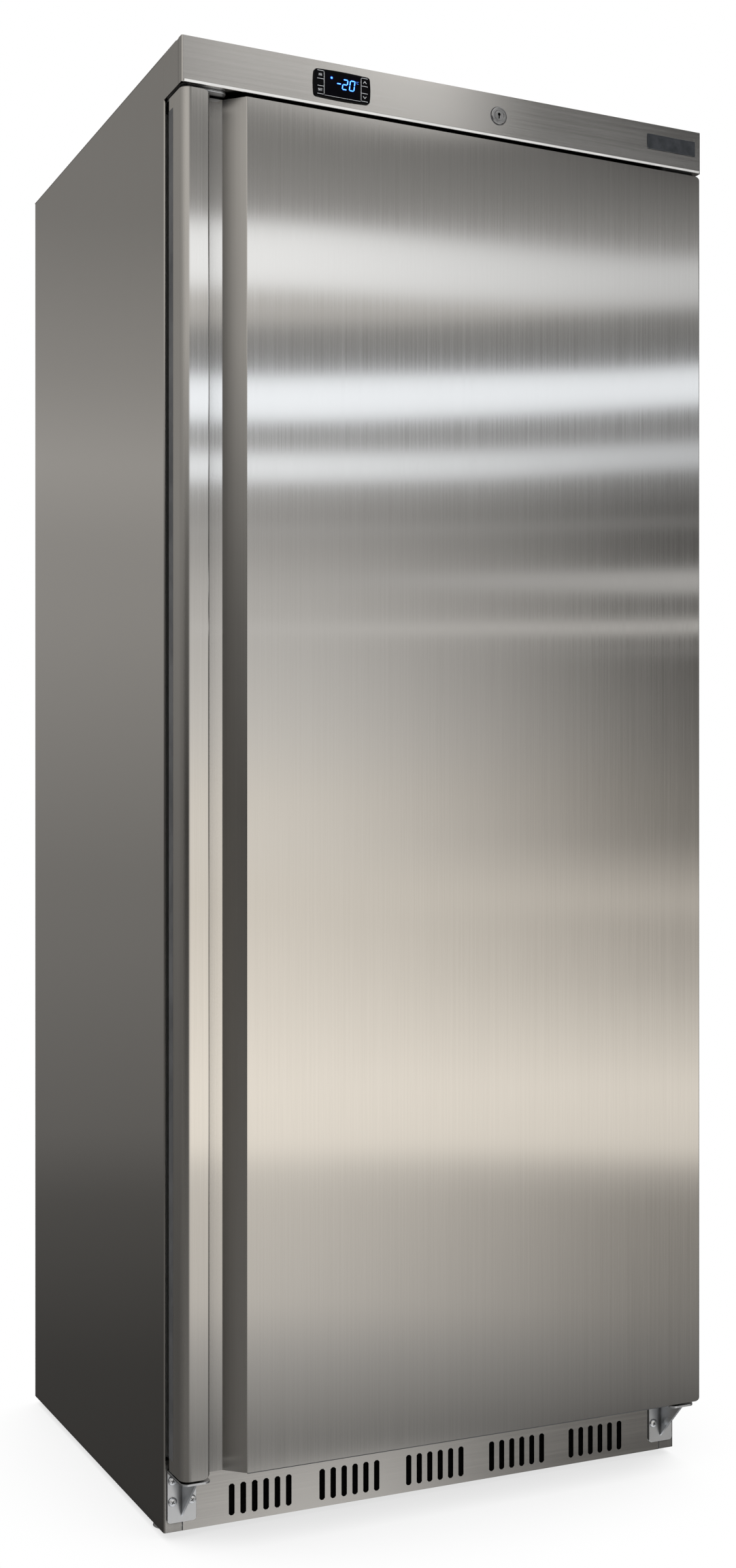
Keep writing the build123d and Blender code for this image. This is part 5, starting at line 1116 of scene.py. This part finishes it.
def wire_tube_tree():
    group, given, out, ids = geometry_tree("wires_on_a_winding_tube", [
        ("Tube radius", "Float", 0.004), ("Wire radius", "Float", 0.0015), ("Wires", "Int", 25),
        ("Spread", "Float", 0.6), ("Wire length", "Float", 0.49), ("Lift", "Float", 0.006),
        ("Levels", "Int", 1), ("Level pitch", "Float", 0.2), ("Finish", "Material", None)])

    def vector(**parts):
        return put(group, "CombineXYZ", parts)[0]

    def times(value, factor):
        return work_out(group, "MULTIPLY", value, factor)

    def line(start, end):
        return put(group, "GeometryNodeCurvePrimitiveLine", {"Start": start, "End": end})[0]

    def rod(curve, radius, sides):
        ring = put(group, "GeometryNodeCurvePrimitiveCircle", {
            "Radius": radius, "Resolution": sides})[0]
        return put(group, "GeometryNodeCurveToMesh", {
            "Curve": curve, "Profile Curve": ring, "Fill Caps": True})[0]

    def repeated(what, count, start, offset):
        points = put(group, "GeometryNodeMeshLine", {
            "Count": count, "Start Location": start, "Offset": offset})[0]
        return put(group, "GeometryNodeInstanceOnPoints", {"Points": points, "Instance": what})[0]

    half_spread, half_long = times(given["Spread"], 0.5), times(given["Wire length"], 0.5)
    to_end = work_out(group, "SUBTRACT", half_long, given["Wire radius"])
    minus_half, lift = times(half_spread, -1.0), given["Lift"]
    step = work_out(
        group, "DIVIDE", given["Spread"], work_out(group, "SUBTRACT", given["Wires"], 1.0))
    path = put(group, "GeometryNodeMeshToCurve", {"Mesh": given["Geometry"]})[0]
    across = rod(line(vector(Y=times(half_long, -1.0)), vector(Y=half_long)),
                 given["Wire radius"], WIRE_SIDES)
    along = rod(line(vector(X=minus_half), vector(X=half_spread)),
                given["Wire radius"], WIRE_SIDES)
    whole = group.nodes.new("GeometryNodeJoinGeometry")
    for part in (
        rod(path, given["Tube radius"], TUBE_SIDES),
        repeated(across, given["Wires"], vector(X=minus_half, Z=lift), vector(X=step)),
        repeated(along, 2, vector(Y=times(to_end, -1.0), Z=lift), vector(Y=times(to_end, 2.0))),
    ):
        fill(group, whole, {0: part})
    levels = repeated(
        whole.outputs[0], given["Levels"], vector(), vector(Z=given["Level pitch"]))
    finish_tree(group, out, levels, given["Finish"])
    return group, ids


def wire_ware(name, slot, node_name, path, tube, wire, values, turned):
    """Grows one piece of wireware and turns it from its own plane into its place."""
    values |= {"Tube radius": tube / 2, "Wire radius": wire / 2, "Lift": tube / 2 + wire / 2}
    piece = grown(name, path, wire_tree, wire_ids, values, slot, node_name)
    piece.data.transform(Matrix(turned))
    shaded(piece.data, 50.0)
    print(name, len(piece.data.polygons), "faces")


wire_tree, wire_ids = wire_tube_tree()
SHELF_LOW, SHELF_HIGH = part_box("evaporator_shelves")
SHELF_RUNS, SHELF_PITCH, SHELF_STRAIGHT, SHELF_TAIL = 4, 148.33 * MM, 482.67 * MM, 60.17 * MM
SHELF_TUBE, SHELF_WIRE, SHELF_COUNT = 8 * MM, 3.6 * MM, 6
SOLID_WIRE = 4 * MM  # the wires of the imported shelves, which their box includes, are thicker
wire_ware(
    "wire_shelves", "white_enamel", "evaporator_shelves",
    winding(SHELF_RUNS, SHELF_PITCH, SHELF_STRAIGHT, SHELF_TAIL), SHELF_TUBE, SHELF_WIRE,
    {"Wires": 29, "Spread": 0.599, "Wire length": SHELF_HIGH.y - SHELF_LOW.y,
     "Levels": SHELF_COUNT, "Level pitch":
         (SHELF_HIGH.z - SHELF_LOW.z - SHELF_TUBE - SOLID_WIRE) / (SHELF_COUNT - 1)},
    ((-1, 0, 0, 0), (0, -1, 0, (SHELF_LOW.y + SHELF_HIGH.y) / 2),
     (0, 0, 1, SHELF_LOW.z + SHELF_TUBE / 2), (0, 0, 0, 1)))

COIL_LOW, COIL_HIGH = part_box("condenser")
COIL_RUNS, COIL_PITCH, COIL_STRAIGHT, COIL_TAIL = 10, 144 * MM, 459 * MM, 42 * MM
COIL_TUBE, COIL_WIRE = 5 * MM, 2.2 * MM
wire_ware(
    "wire_condenser", "black_enamel", "condenser",
    winding(COIL_RUNS, COIL_PITCH, COIL_STRAIGHT, COIL_TAIL), COIL_TUBE, COIL_WIRE,
    {"Wires": 41, "Spread": COIL_STRAIGHT - COIL_WIRE, "Wire length": COIL_HIGH.z - COIL_LOW.z,
     "Levels": 1},
    ((-1, 0, 0, 0), (0, 0, 1, COIL_LOW.y + COIL_TUBE / 2),
     (0, 1, 0, (COIL_LOW.z + COIL_HIGH.z) / 2), (0, 0, 0, 1)))
